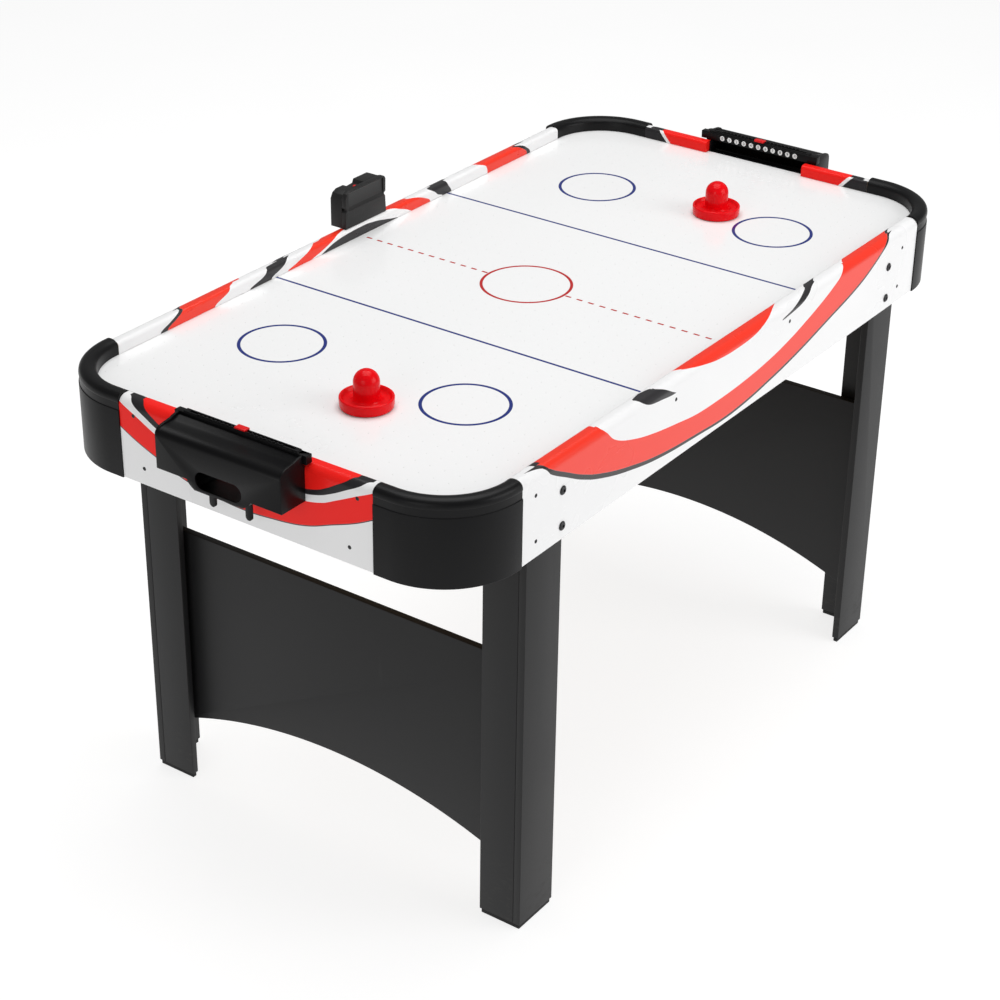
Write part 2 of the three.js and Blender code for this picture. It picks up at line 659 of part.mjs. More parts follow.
// ---------------------------------------------------------------- strikers
const strikerBase = FIELD_TOP + GAP
function strikerProfile(z) {
  const inner = STRIKER_KNOB - 2.6
  return [
    ...arc(0, z + STRIKER_HIGH - STRIKER_KNOB, inner, 90, 0, 3)
      .map(([r, h], i) => [i === 0 ? 0 : r, h]),
    [inner, z + 14],
    [20, z + 6],
    [33.4, z + 5.4],
    [34, z + 1],
    [STRIKER_RADIUS - 1, z + 1],
    [STRIKER_RADIUS, z + 14],
    [STRIKER_RADIUS - 2, z + 17],
    [STRIKER_RADIUS - 4.2, z + 15.6],
    [33, z + 9.4],
    [24, z + 8],
    [STRIKER_KNOB, z + 15],
    ...arc(0, z + STRIKER_HIGH - STRIKER_KNOB, STRIKER_KNOB, 0, 90, 6)
      .map(([r, h], i) => [i === 6 ? 0 : r, h])
  ]
}
for (const [name, [x, y]] of Object.entries(STRIKERS)) {
  const z = strikerBase
  add(`striker_${name}`, turned(strikerProfile(z), 28, x, y), redPlastic())
  add(`striker_pad_${name}`, turned([[0, z], [32.8, z], [32.8, z + 3.5], [0, z + 3.5]], 28, x, y), felt())
}

export default group
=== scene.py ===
# %% [markdown]
# # An air hockey table
# The table is a shallow box on four L-shaped legs. Printed aprons carry a rounded rail, black
# caps wrap its corners, and a white field with air holes lies inside. Goal boxes hang on both
# ends, a scorer clips to one side, and a blower hides below. The structure comes ready made as
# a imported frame, and this lesson makes the surface that a person would see and touch.

# %% Load the frame
import json
import math

import bmesh
import bpy
from mathutils import Matrix, Vector

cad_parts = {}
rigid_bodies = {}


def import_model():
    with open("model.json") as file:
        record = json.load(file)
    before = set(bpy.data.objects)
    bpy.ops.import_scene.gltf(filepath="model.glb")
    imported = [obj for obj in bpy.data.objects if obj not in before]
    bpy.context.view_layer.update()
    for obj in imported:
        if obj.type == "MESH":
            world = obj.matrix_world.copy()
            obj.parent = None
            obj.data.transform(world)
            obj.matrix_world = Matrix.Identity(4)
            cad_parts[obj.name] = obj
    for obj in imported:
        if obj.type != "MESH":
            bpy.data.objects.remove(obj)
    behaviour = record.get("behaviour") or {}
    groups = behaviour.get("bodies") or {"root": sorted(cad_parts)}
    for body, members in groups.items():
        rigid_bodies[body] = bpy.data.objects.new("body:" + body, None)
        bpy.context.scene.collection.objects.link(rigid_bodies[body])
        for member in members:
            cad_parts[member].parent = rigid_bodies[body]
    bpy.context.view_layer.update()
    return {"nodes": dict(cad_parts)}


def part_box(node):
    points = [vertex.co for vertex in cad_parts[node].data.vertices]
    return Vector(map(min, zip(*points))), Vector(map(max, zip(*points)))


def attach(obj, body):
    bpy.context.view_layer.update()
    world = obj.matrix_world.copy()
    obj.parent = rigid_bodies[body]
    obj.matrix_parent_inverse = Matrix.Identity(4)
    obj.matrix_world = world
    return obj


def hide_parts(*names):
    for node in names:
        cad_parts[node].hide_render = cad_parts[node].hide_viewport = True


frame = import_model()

MM = 0.001
FIELD_TOP, CLEARANCE = 0.767, 0.0003
CORNER_X, CORNER_Y = 0.586, 0.255  # the point that each corner turns about
SIDE_FACE, END_FACE = 0.380, 0.711  # outer faces of the aprons
BOLT_X, BOLT_Z, BOLT_HOLE = 0.483, (0.678, 0.734), 0.0043
CORNERS = [("near_right", -1, -1), ("near_left", -1, 1), ("far_right", 1, -1), ("far_left", 1, 1)]
ENDS = [("near", -1), ("far", 1)]

# %% [markdown]
# ## The room, the lights and the camera
# A pale floor that runs past the edges of the view serves as floor and background at once. It
# glows a little by itself, as an overlit paper sweep does, so the shadow under the table stays
# faint. A wide soft lamp to the right makes the long apron the brightest face and leaves the
# goal end greyer; a sheet of light overhead keeps the field white.

# %% Floor and lights
scene = bpy.context.scene
scene.view_settings.view_transform = "Standard"
scene.view_settings.look = "None"
world = bpy.data.worlds.new("studio_air")
scene.world = world
world.use_nodes = True
world.node_tree.nodes["Background"].inputs["Color"].default_value = (1, 1, 1, 1)
world.node_tree.nodes["Background"].inputs["Strength"].default_value = 0.26


def area_lamp(name, place, target, size, power):
    """A square soft lamp that looks at a point."""
    data = bpy.data.lights.new(name, "AREA")
    data.shape, data.size, data.energy = "SQUARE", size, power
    lamp = bpy.data.objects.new(name, data)
    scene.collection.objects.link(lamp)
    direction = Vector(target) - Vector(place)
    lamp.location = place
    lamp.rotation_euler = direction.to_track_quat("-Z", "Y").to_euler()
    return lamp


area_lamp("long_side_softbox", (1.2, -4.2, 2.2), (0.1, 0, 0.6), 3.0, 92)
area_lamp("overhead_sheet", (0.3, 0.2, 4.0), (0, 0, 0.7), 3.2, 99)
area_lamp("goal_end_softbox", (-4.4, -0.6, 1.8), (-0.6, 0, 0.6), 2.0, 24)

floor_mesh = bpy.data.meshes.new("paper_floor")
floor_mesh.from_pydata([(-9, -9, 0), (14, -9, 0), (14, 12, 0), (-9, 12, 0)], [], [(0, 1, 2, 3)])
floor = bpy.data.objects.new("paper_floor", floor_mesh)
scene.collection.objects.link(floor)

# %% [markdown]
# The camera stands past the near right corner, a little above a standing player's head, and
# looks down over the field with a long lens. Its matrix is built from a heading, a tilt and
# a small roll, because three plain angles are easier to read than a rotation matrix.

# %% Camera
CAMERA_PLACE, LENS = (-2.82884, -1.92548, 2.26852), 84.1
yaw, pitch, roll = (math.radians(a) for a in (35.1267, -28.919, 0.766))
ahead = Vector((math.cos(yaw) * math.cos(pitch), math.sin(yaw) * math.cos(pitch), math.sin(pitch)))
level_right = Vector((math.sin(yaw), -math.cos(yaw), 0))
level_up = level_right.cross(ahead)
right = level_right * math.cos(roll) + level_up * math.sin(roll)
up = level_up * math.cos(roll) - level_right * math.sin(roll)
camera_data = bpy.data.cameras.new("camera")
camera_data.sensor_width = 36
camera_data.lens = LENS
camera_data.clip_end = 60
camera = bpy.data.objects.new("camera", camera_data)
scene.collection.objects.link(camera)
turn = Matrix((right, up, -ahead)).transposed()
camera.matrix_world = Matrix.Translation(CAMERA_PLACE) @ turn.to_4x4()
scene.camera = camera
print("camera at", tuple(round(c, 2) for c in camera.location))

# %% [markdown]
# ## Writing finishes as arithmetic
# A finish is a node tree, and long trees are hard to read when each node takes five lines. The
# small class below wraps a socket so that + - * / on it add Math nodes. Everything else goes
# through one method that sets a node up and links its sockets.

# %% Sockets that can be added and multiplied
class Val:
    """One output socket, ready for Python arithmetic."""

    def __init__(self, finish, socket):
        self.finish, self.socket = finish, socket

    def maths(self, operation, *values, clamp=False):
        settings = {"operation": operation, "use_clamp": clamp}
        return self.finish.node("ShaderNodeMath", settings, dict(enumerate(values)))

    def __add__(self, other):
        return self.maths("ADD", self, other)

    def __sub__(self, other):
        return self.maths("SUBTRACT", self, other)

    def __rsub__(self, other):
        return self.maths("SUBTRACT", other, self)

    def __mul__(self, other):
        return self.maths("MULTIPLY", self, other)

    def __truediv__(self, other):
        return self.maths("DIVIDE", self, other)

    def __abs__(self):
        return self.maths("ABSOLUTE", self)

    __radd__ = __add__
    __rmul__ = __mul__

    def least(self, other):
        return self.maths("MINIMUM", self, other)

    def above(self, level, soft=0.00025):
        """0 below the level, 1 above it, with a narrow soft edge."""
        return self.maths("ADD", (self - level) / (2 * soft), 0.5, clamp=True)

    def ramp(self, low, high):
        """Eases from 0 at low to 1 at high."""
        return self.finish.node(
            "ShaderNodeMapRange", {"interpolation_type": "SMOOTHSTEP"},
            {"Value": self, "From Min": low, "From Max": high},
        )


class Finish:
    """A material and the nodes that colour it."""

    def __init__(self, name, **constants):
        self.material = bpy.data.materials.new(name)
        self.material.use_nodes = True
        self.tree = self.material.node_tree
        self.shader = self.tree.nodes["Principled BSDF"]
        for socket, value in constants.items():
            self.shader.inputs[self.titled(socket)].default_value = value

    @staticmethod
    def titled(name):
        return name.replace("_", " ").title().replace("Ior", "IOR")

    def node(self, kind, settings=None, sockets=None, out=0):
        made = self.tree.nodes.new(kind)
        for key, value in (settings or {}).items():
            if key == "curve":
                curve = made.mapping.curves[0]
                for i, (x, y) in enumerate(value):
                    point = curve.points[i] if i < 2 else curve.points.new(x, y)
                    point.location = (x, y)
                for point in curve.points:
                    point.handle_type = "AUTO_CLAMPED"
                made.mapping.update()
            else:
                setattr(made, key, value)
        for key, value in (sockets or {}).items():
            if isinstance(value, Val):
                self.tree.links.new(value.socket, made.inputs[key])
            else:
                made.inputs[key].default_value = value
        return Val(self, made.outputs[out])

    def place(self):
        """Object coordinates, split into x, y and z in metres."""
        return self.parts(self.node("ShaderNodeTexCoord", out="Object"))

    def parts(self, vector):
        split = self.node("ShaderNodeSeparateXYZ", None, {0: vector}).socket.node
        return [Val(self, split.outputs[i]) for i in range(3)]

    def stretched(self, scale):
        spot = self.node("ShaderNodeTexCoord", out="Object")
        return self.node("ShaderNodeMapping", None, {"Vector": spot, "Scale": scale})

    def noise(self, scale, detail=2.0, stretch=(1, 1, 1), rough=0.5):
        sockets = {"Vector": self.stretched(stretch), "Scale": scale, "Detail": detail}
        return self.node("ShaderNodeTexNoise", None, {**sockets, "Roughness": rough})

    def speckle(self, scale, stretch=(1, 1, 1)):
        sockets = {"Vector": self.stretched(stretch), "Scale": scale}
        return self.node("ShaderNodeTexVoronoi", None, sockets, out="Distance")

    def blend(self, mask, under, over):
        """The colour `over` where the mask is 1, on the colour `under`."""
        def colour(c):
            return c if isinstance(c, Val) else (*c, 1)
        return self.node(
            "ShaderNodeMix", {"data_type": "RGBA"}, {0: mask, 6: colour(under), 7: colour(over)}, 2
        )

    def feed(self, **links):
        """Links values that change over the surface to the shader."""
        for socket, value in links.items():
            target = self.shader.inputs[self.titled(socket)]
            self.tree.links.new(value.socket, target)
        return self

    def relief(self, *layers):
        """Bumps stacked on each other; each layer is (height, depth in metres)."""
        normal = None
        for height, depth in layers:
            sockets = {"Height": height, "Distance": depth, "Strength": 1.0}
            if normal is not None:
                sockets["Normal"] = normal
            normal = self.node("ShaderNodeBump", None, sockets)
        return self.feed(normal=normal)


print("finish tools ready")

# %% [markdown]
# ## Moulded and pressed finishes
# Most parts of the table are black: vinyl-wrapped board for legs and panels, satin moulded
# plastic for caps and goals, blackened steel for bolts. What tells them apart is texture and
# gloss, so each gets its own grain, its own unevenness and its own wear.

# %% A black finish family
def black_finish(name, shade, rough, grain, grain_depth, dust=0.25, shine=0.22, **constants):
    """Satin black: fine grain, cloudy gloss, a little pale dust where hands and feet reach."""
    f = Finish(name, specular_ior_level=shine, **constants)
    cloud = f.noise(9, 4)
    pores = f.speckle(grain)
    scuff = f.noise(30, 6, (1, 1, 6), 0.65).ramp(0.62, 0.78)
    x, y, z = f.place()
    low_down = 1 - z.ramp(0.0, 0.12)
    dusty = (scuff * (0.35 + low_down * 0.65) * dust).least(1)
    base = f.blend(cloud, [s * 0.82 for s in shade], [s * 1.22 for s in shade])
    f.feed(base_color=f.blend(dusty, base, (0.075, 0.075, 0.073)))
    f.feed(roughness=rough - 0.07 + cloud * 0.14 + dusty * 0.25)
    return f.relief((pores, grain_depth), (f.noise(55, 3), grain_depth * 2))


cap_black = black_finish("cap_black", (0.0045, 0.0045, 0.0049), 0.36, 900, 0.00006, 0.18, shine=0.16)
goal_black = black_finish("goal_black", (0.0038, 0.0038, 0.0042), 0.33, 1300, 0.00004, 0.12, shine=0.12)
scorer_black = black_finish("scorer_black", (0.016, 0.016, 0.016), 0.42, 1100, 0.00008, 0.15)
foot_black = black_finish("foot_black", (0.010, 0.010, 0.010), 0.6, 500, 0.0001, 0.9)
inlet_black = black_finish("inlet_black", (0.010, 0.010, 0.011), 0.42, 1200, 0.00005, 0.15)
blower_black = black_finish("blower_black", (0.014, 0.014, 0.014), 0.5, 700, 0.0001, 0.6)
bolt_black = black_finish("bolt_black", (0.045, 0.045, 0.047), 0.38, 1600, 0.00003, 0.1, metallic=0.85)
print("black finishes:", len(bpy.data.materials))

# %% [markdown]
# Wrapped board is different: its film is printed with a faint leather-like emboss, it picks up
# long scuffs, and it goes greyer where shoes and brooms touch it.

# %% Black film on board
def film_on_board():
    f = Finish("black_film", specular_ior_level=0.25, coat_roughness=0.3)
    cloud = f.noise(5, 3)
    emboss = f.noise(420, 4, (1, 1, 1), 0.6)
    streak = f.noise(26, 5, (1, 1, 0.12), 0.7).ramp(0.64, 0.8)
    x, y, z = f.place()
    kicked = (1 - z.ramp(0.01, 0.16)) * f.noise(48, 6, (1, 1, 2.5), 0.7).ramp(0.5, 0.72)
    base = f.blend(cloud, (0.0105, 0.0105, 0.011), (0.0145, 0.0145, 0.015))
    base = f.blend(streak * 0.12, base, (0.07, 0.07, 0.07))
    f.feed(base_color=f.blend(kicked * 0.28, base, (0.10, 0.097, 0.093)))
    f.feed(roughness=0.40 + cloud * 0.12 + kicked * 0.2 + emboss * 0.06)
    f.feed(coat_weight=0.01 + emboss * 0.03)
    return f.relief((emboss, 0.00005), (streak, 0.00004))


black_film = film_on_board()


def bare_board():
    """Unfaced fibreboard: matted fibres, darker where the press was hotter."""
    f = Finish("bare_board")
    fibre = f.noise(900, 5, (1, 0.35, 1), 0.7)
    fleck = f.speckle(1400).ramp(0.05, 0.35)
    cloud = f.noise(14, 3)
    base = f.blend(fibre, (0.20, 0.115, 0.052), (0.44, 0.29, 0.155))
    base = f.blend((1 - fleck) * 0.4, base, (0.12, 0.065, 0.03))
    f.feed(base_color=f.blend(cloud * 0.3, base, (0.5, 0.34, 0.19)))
    f.feed(roughness=0.74 + fibre * 0.2)
    return f.relief((fibre, 0.0003), (f.speckle(600), 0.0001))


raw_board = bare_board()


def motor_can():
    """Zinc on drawn steel: streaks round the can and dull spots of storage."""
    f = Finish("motor_zinc", metallic=1.0)
    ring = f.noise(260, 4, (0.15, 0.15, 4), 0.6)
    spot = f.noise(60, 5).ramp(0.55, 0.7)
    base = f.blend(ring, (0.42, 0.42, 0.44), (0.62, 0.62, 0.63))
    f.feed(base_color=f.blend(spot * 0.4, base, (0.30, 0.30, 0.31)))
    f.feed(roughness=0.26 + ring * 0.14 + spot * 0.25)
    return f.relief((ring, 0.00005))


motor_steel = motor_can()


def pressed_felt():
    """Grey wool felt: a tangle of short fibres with paler lint."""
    f = Finish("pressed_felt", sheen_weight=0.4)
    fibre = f.noise(1500, 6, (1, 1, 1), 0.75)
    lint = f.speckle(700, (1, 0.4, 1)).ramp(0.02, 0.2)
    base = f.blend(fibre, (0.018, 0.018, 0.02), (0.075, 0.075, 0.08))
    f.feed(base_color=f.blend((1 - lint) * 0.3, base, (0.2, 0.2, 0.2)))
    f.feed(roughness=0.86 + fibre * 0.12)
    return f.relief((fibre, 0.0005))


grey_felt = pressed_felt()


def moulded_red(name, shade, rough):
    """Glossy red moulding: slight flow marks and hair scratches from play."""
    f = Finish(name, specular_ior_level=0.13, coat_weight=0.02, coat_roughness=0.06)
    flow = f.noise(22, 3, (1, 1, 0.5))
    hair = f.noise(190, 6, (1, 1, 0.08), 0.75).ramp(0.6, 0.75)
    base = f.blend(flow, [s * 0.86 for s in shade], [s * 1.12 for s in shade])
    f.feed(base_color=f.blend(hair * 0.03, base, (0.80, 0.20, 0.19)))
    f.feed(roughness=rough + flow * 0.10 + hair * 0.16)
    return f.relief((flow, 0.00025), (f.noise(400, 2), 0.00002))


striker_red = moulded_red("striker_red", (0.80, 0.002, 0.006), 0.16)
pointer_red = moulded_red("pointer_red", (0.70, 0.012, 0.014), 0.24)
print("finishes so far:", len(bpy.data.materials))

# %% [markdown]
# The paper floor is white with the faintest mottle. Part of its light is its own.

# %% Paper floor
paper = Finish("paper_sweep", roughness=0.9, emission_strength=0.80)
mottle = paper.noise(3, 3)
paper.feed(base_color=paper.blend(mottle, (0.30, 0.30, 0.30), (0.33, 0.33, 0.33)))
paper.shader.inputs["Emission Color"].default_value = (1, 1, 1, 1)
floor_mesh.materials.append(paper.material)

# %% [markdown]
# ## Tools for pieces
# Every piece ends in the same place: a plain mesh at the origin, with its finish, its soft
# edges, the body it rides on and the frame nodes it stands for. One function does that, and it
# reports the triangle count, so a heavy piece is noticed.

# %% Settling a piece
def settle(name, bm, finishes, body="table", nodes=(), angle=35):
    """Turns a bmesh into a finished piece of the table."""
    mesh = bpy.data.meshes.new(name)
    bm.to_mesh(mesh)
    bm.free()
    for finish in finishes if isinstance(finishes, (list, tuple)) else [finishes]:
        mesh.materials.append(finish.material)
    mesh.polygons.foreach_set("use_smooth", [True] * len(mesh.polygons))
    mesh.set_sharp_from_angle(angle=math.radians(angle))
    piece = bpy.data.objects.new(name, mesh)
    scene.collection.objects.link(piece)
    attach(piece, body)
    if nodes:
        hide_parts(*nodes)
    mesh.calc_loop_triangles()
    print(f"{name}: {len(mesh.loop_triangles)} triangles")
    return piece


def outward(bm):
    bmesh.ops.remove_doubles(bm, verts=bm.verts, dist=1e-6)
    bmesh.ops.recalc_face_normals(bm, faces=bm.faces)
    return bm


def ease(bm, width, segments=2, angle=35):
    """Rounds every edge sharper than the angle."""
    sharp = [e for e in bm.edges if e.is_manifold and e.calc_face_angle() > math.radians(angle)]
    bmesh.ops.bevel(
        bm, geom=sharp, offset=width, segments=segments, profile=0.5,
        affect="EDGES", clamp_overlap=True,
    )
    return bm


def from_node(node):
    """A merged copy of a frame node, flat faces joined, ready for easing."""
    bm = bmesh.new()
    bm.from_mesh(frame["nodes"][node].data)
    bmesh.ops.remove_doubles(bm, verts=bm.verts, dist=2e-6)
    bmesh.ops.dissolve_limit(bm, angle_limit=math.radians(0.8), verts=bm.verts, edges=bm.edges)
    return bm


def prism(outline, axis, start, end):
    """A closed prism. The outline runs in the two directions across the axis, in x y z order."""
    order = {"x": lambda a, b, t: (t, a, b), "y": lambda a, b, t: (a, t, b), "z": lambda a, b, t: (a, b, t)}
    bm = bmesh.new()
    rings = [[bm.verts.new(order[axis](a, b, t)) for a, b in outline] for t in (start, end)]
    for i in range(len(outline)):
        j = (i + 1) % len(outline)
        bm.faces.new((rings[0][i], rings[0][j], rings[1][j], rings[1][i]))
    bm.faces.new(rings[0][::-1])
    bm.faces.new(rings[1])
    return outward(bm)


def brick(lo, hi):
    return prism([(lo[0], lo[1]), (hi[0], lo[1]), (hi[0], hi[1]), (lo[0], hi[1])], "z", lo[2], hi[2])


def lathe(profile, segments, x=0.0, y=0.0):
    """Turns (radius, height) points about the upright line through x, y."""
    bm = bmesh.new()
    rings = []
    for r, z in profile:
        if r < 1e-7:
            rings.append([bm.verts.new((x, y, z))])
        else:
            angles = [2 * math.pi * k / segments for k in range(segments)]
            rings.append([bm.verts.new((x + r * math.cos(a), y + r * math.sin(a), z)) for a in angles])
    for low, high in zip(rings, rings[1:]):
        for k in range(segments):
            n = (k + 1) % segments
            corner = [low[k % len(low)], low[n % len(low)], high[n % len(high)], high[k % len(high)]]
            face = list(dict.fromkeys(corner))
            if len(face) > 2:
                bm.faces.new(face)
    return outward(bm)


def arc(cx, cy, r, a, b, steps):
    turns = [math.radians(a + (b - a) * i / steps) for i in range(steps + 1)]
    return [(cx + r * math.cos(t), cy + r * math.sin(t)) for t in turns]


def combined(bm, others, operation="DIFFERENCE"):
    """Cuts the other solids out of one, or joins them to it, with Blender's exact boolean."""
    def stand_in(name, source):
        mesh = bpy.data.meshes.new(name)
        source.to_mesh(mesh)
        made = bpy.data.objects.new(name, mesh)
        scene.collection.objects.link(made)
        return made
    main = stand_in("cutting_bench", bm)
    tools = []
    for i, other in enumerate(others):
        tools.append(stand_in(f"cutter_{i}", other))
        step = main.modifiers.new("cut", "BOOLEAN")
        step.operation, step.solver, step.object = operation, "EXACT", tools[-1]
        other.free()
    bpy.context.view_layer.update()
    graph = bpy.context.evaluated_depsgraph_get()
    result = bpy.data.meshes.new_from_object(main.evaluated_get(graph))
    bm.clear()
    bm.from_mesh(result)
    bpy.data.meshes.remove(result)
    for done in [main, *tools]:
        old = done.data
        bpy.data.objects.remove(done)
        bpy.data.meshes.remove(old)
    return bm


def rod(axis, radius, start, end, p, q, sides=24):
    """A plain round cutter along an axis, at (p, q) in the other two directions."""
    return prism(arc(p, q, radius, 0, 360, sides)[:-1], axis, start, end)


print("piece tools ready")

# %% [markdown]
# ## The printed film
# Aprons are boards wrapped in white film, printed before wrapping, so the print runs on from
# the outer face over the rail to the inner wall. The easy way to follow it is a UV map laid
# out like the flat film: one direction along the board, the other up its outer face and over.
# Each printed shape is then the area between two curves, drawn with Float Curve nodes.

# %% The film's own measures
APRON_Z, RAIL_Z, APRON_DEEP, RAIL_WIDE = 0.657, 0.787, 0.015, 0.026
FILM_TOP = 0.200  # film measured from the bottom edge, beyond any real point
FACE_END = 0.138  # film height where the face ends and the rail's print begins
RAIL_FROM, RAIL_SPREAD, REACH = 0.130, 0.040, 0.700


def held(points, near_start, near_end):
    """Points on a 0 to 1 curve with its first and last heights held out to both ends."""
    first, last = points[0], points[-1]
    before = [(0.0, first[1])] if first[0] > near_start else []
    after = [(1.0, last[1])] if last[0] < near_end else []
    return before + points + after


def drawn(f, along, span, points):
    """A curve of film height against distance along the board."""
    spread = [((x * MM + span) / (2 * span), y * MM / FILM_TOP) for x, y in points]
    curve = {"curve": held(spread, 0.002, 0.998)}
    return f.node("ShaderNodeFloatCurve", curve, {"Value": (along + span) / (2 * span)}) * FILM_TOP


def film_base(name, shine=0.42):
    """White film with its slight unevenness, and the along and up values of its UV map."""
    f = Finish(name, specular_ior_level=shine, coat_roughness=0.12)
    spot = f.node("ShaderNodeUVMap", {"uv_map": "film"}, out="UV")
    along, upward, _ = f.parts(spot)
    cloud = f.noise(6, 3)
    white = f.blend(cloud, (0.83, 0.83, 0.835), (0.89, 0.89, 0.89))
    return f, along, upward, cloud, white


def film_gloss(f, cloud, upward):
    """Gloss of a satin film, rubbed where pucks strike the rail, with fine scratches."""
    rubbed = upward.ramp(0.148, 0.158) * f.noise(40, 5, (1, 1, 4), 0.7).ramp(0.45, 0.7)
    hair = f.noise(120, 6, (0.3, 0.3, 3), 0.75).ramp(0.62, 0.76)
    f.feed(roughness=0.24 + cloud * 0.08 + rubbed * 0.22 + hair * 0.15)
    f.feed(coat_weight=0.02 + cloud * 0.04)
    return f.relief((f.noise(240, 3), 0.00003), (hair, 0.00002))


RED_INK, BLACK_INK, WHITE_INK = (0.88, 0.034, 0.013), (0.022, 0.021, 0.023), (0.9, 0.9, 0.9)
# The end aprons' red is the sides' red ink painted deeper, as painted shade for the end's weaker light.
END_RED_PAINTED_SHADE = (0.92, 0.015, 0.011)

# %% [markdown]
# The long side carries a wide red sweep with a dark lower edge, a red arch over the middle of
# the rail with a black leaf inside it on the left, and two black leaves. On the face the
# shapes are drawn as heights against distance; over the rail they run across it, so there each
# one is a band between a left and a right edge. The left apron is the right one turned round.

# %% Print of the long aprons
def across(f, s, points):
    """A distance along the board, drawn against film height from 130 to 170 mm."""
    spread = [((h * MM - RAIL_FROM) / RAIL_SPREAD, (x * MM + REACH) / (2 * REACH)) for h, x in points]
    curve = {"curve": held(spread, 0.01, 0.99)}
    value = {"Value": (s - RAIL_FROM) / RAIL_SPREAD}
    return f.node("ShaderNodeFloatCurve", curve, value) * (2 * REACH) - REACH


def side_film(name, scale, bands, arch_edges, gap_line, heart_line):
    f, x, s, cloud, white = film_base(name)
    u, span = x * scale, 0.68
    rail = s.above(FACE_END, 0.0001)
    face = 1 - rail

    def line(points, value=u):
        return drawn(f, value, span, points)

    def band(left, right):
        return x.above(across(f, s, left)) * (1 - x.above(across(f, s, right))) * rail

    low = line([(-680, 165), (-530, 139), (-515, 124), (-474, 101), (-429, 78), (-385, 61), (-313, 41),
                (-221, 24), (-115, 15), (-40, 11), (23, 14), (90, 22), (155, 32), (276, 58), (376, 82),
                (430, 103), (461, 119), (482, 130), (499, 139), (680, 165)])
    high = line([(-680, 199), (-392, 199), (-387, 138), (-372, 118), (-346, 97), (-300, 80), (-255, 69),
                 (-182, 57), (-118, 49), (-60, 48), (10, 50), (79, 56), (140, 66), (197, 80), (245, 94),
                 (284, 108), (314, 122), (338, 139), (344, 199), (680, 199)])
    sweep = s.above(low) * (1 - s.above(high)) * face
    thick = 0.0042 + (1 - u.ramp(-0.44, -0.05)) * 0.0040
    edge = s.above(low - thick) * (1 - s.above(low)) * face
    under_arch = line([(-400, 199), (-176, 150), (-166, 143), (-142, 131.5), (-105, 123), (-66, 117.5),
                       (-20, 115.5), (25, 117), (66, 124), (95, 132), (118, 141), (136, 150), (400, 199)])
    arch = s.above(under_arch) * face
    over_arch = band(*arch_edges)
    one_low = line([(-680, 199), (-290, 150), (-284, 138), (-262, 119), (-230, 114), (-191, 110),
                    (-187, 199), (0, 199)])
    one_high = line([(-680, 199), (-243, 199), (-237, 138), (-215, 124), (-200, 115), (-191, 110.5),
                     (-187, 100)])
    two_low = line([(0, 199), (113, 199), (118, 111), (150, 113), (180, 117), (206, 124), (232, 134),
                    (246, 138), (256, 150), (400, 199)])
    two_high = line([(0, 100), (113, 100), (118, 111.6), (150, 118), (180, 126), (205, 134), (215, 138),
                     (222, 199), (680, 199)])
    leaf_one = s.above(one_low) * (1 - s.above(one_high))
    leaf_two = s.above(two_low) * (1 - s.above(two_high))
    dark = (leaf_one + leaf_two).least(1) * face
    red = sweep
    for ink_name, left, right in bands:
        if ink_name == "red":
            red = red + band(left, right)
        else:
            dark = dark + band(left, right)
    gap = s.above(line(gap_line, x)) * rail
    heart = s.above(line(heart_line, x)) * rail
    ink = f.blend((arch + over_arch).least(1), white, RED_INK)
    ink = f.blend(red.least(1), ink, RED_INK)
    ink = f.blend(edge, ink, (0.024, 0.021, 0.021))
    ink = f.blend(dark.least(1), ink, BLACK_INK)
    ink = f.blend(gap, ink, WHITE_INK)
    f.feed(base_color=f.blend(heart, ink, BLACK_INK))
    return film_gloss(f, cloud, s)


right_bands = [
    ("red", [(138, -520), (167, -553)], [(138, -387), (149, -390), (167, -412)]),
    ("black", [(138, -532), (149, -540), (167, -566)], [(138, -519), (149, -524), (167, -552)]),
    ("black", [(138, -284), (142, -283), (146, -262), (170, -200)],
     [(138, -237), (142, -241), (146, -262), (170, -300)]),
    ("black", [(138, 215), (149, 228), (167, 248)], [(138, 246), (149, 262), (167, 284)]),
    ("red", [(138, 341), (149, 357), (167, 380)], [(138, 492), (149, 508), (167, 538)]),
    ("black", [(138, 492), (149, 508), (167, 538)], [(138, 499), (149, 521), (167, 546)]),
]
right_arch = ([(130, -140), (138, -154), (149, -171), (167, -190)],
              [(130, 90), (138, 111), (149, 140), (167, 166)])
right_gap = [(-200, 199), (-150, 172), (-100, 163), (-50, 158), (0, 156), (50, 158), (100, 163),
             (150, 172), (200, 199)]
right_heart = [(-200, 199), (-100, 168), (-50, 162), (0, 160), (50, 162), (100, 168), (200, 199)]
film_right = side_film("film_right", 1.0, right_bands, right_arch, right_gap, right_heart)

left_bands = [
    ("red", [(138, -434), (144, -434), (155, -452), (167, -474)],
     [(138, -311), (144, -323), (153, -334), (167, -366)]),
    ("black", [(138, -439), (144, -441), (155, -466), (167, -490)],
     [(138, -434), (144, -434), (155, -452), (167, -474)]),
    ("black", [(138, -203), (141, -232), (149, -240), (156, -250), (167, -283)],
     [(138, -175), (143, -183), (155, -203), (167, -231)]),
    ("black", [(138, 195), (144, 192), (156, 206), (161, 212), (167, 225)],
     [(138, 242), (149, 241), (167, 251)]),
    ("red", [(138, 339), (144, 341), (153, 355), (167, 359)], [(138, 449), (144, 454), (165, 481)]),
    ("black", [(138, 449), (144, 454), (165, 481)], [(138, 458), (144, 464), (150, 474), (167, 492)]),
]
left_arch = ([(130, -100), (138, -112), (147, -128), (160, -168), (167, -190)],
             [(130, 120), (138, 132), (143, 138), (154, 170), (167, 190)])
left_gap = [(-250, 199), (-135, 168), (-98, 159), (-70, 150), (-54, 145), (-25, 140), (15, 138),
            (55, 141), (82, 146), (105, 154), (122, 160), (139, 168), (250, 199)]
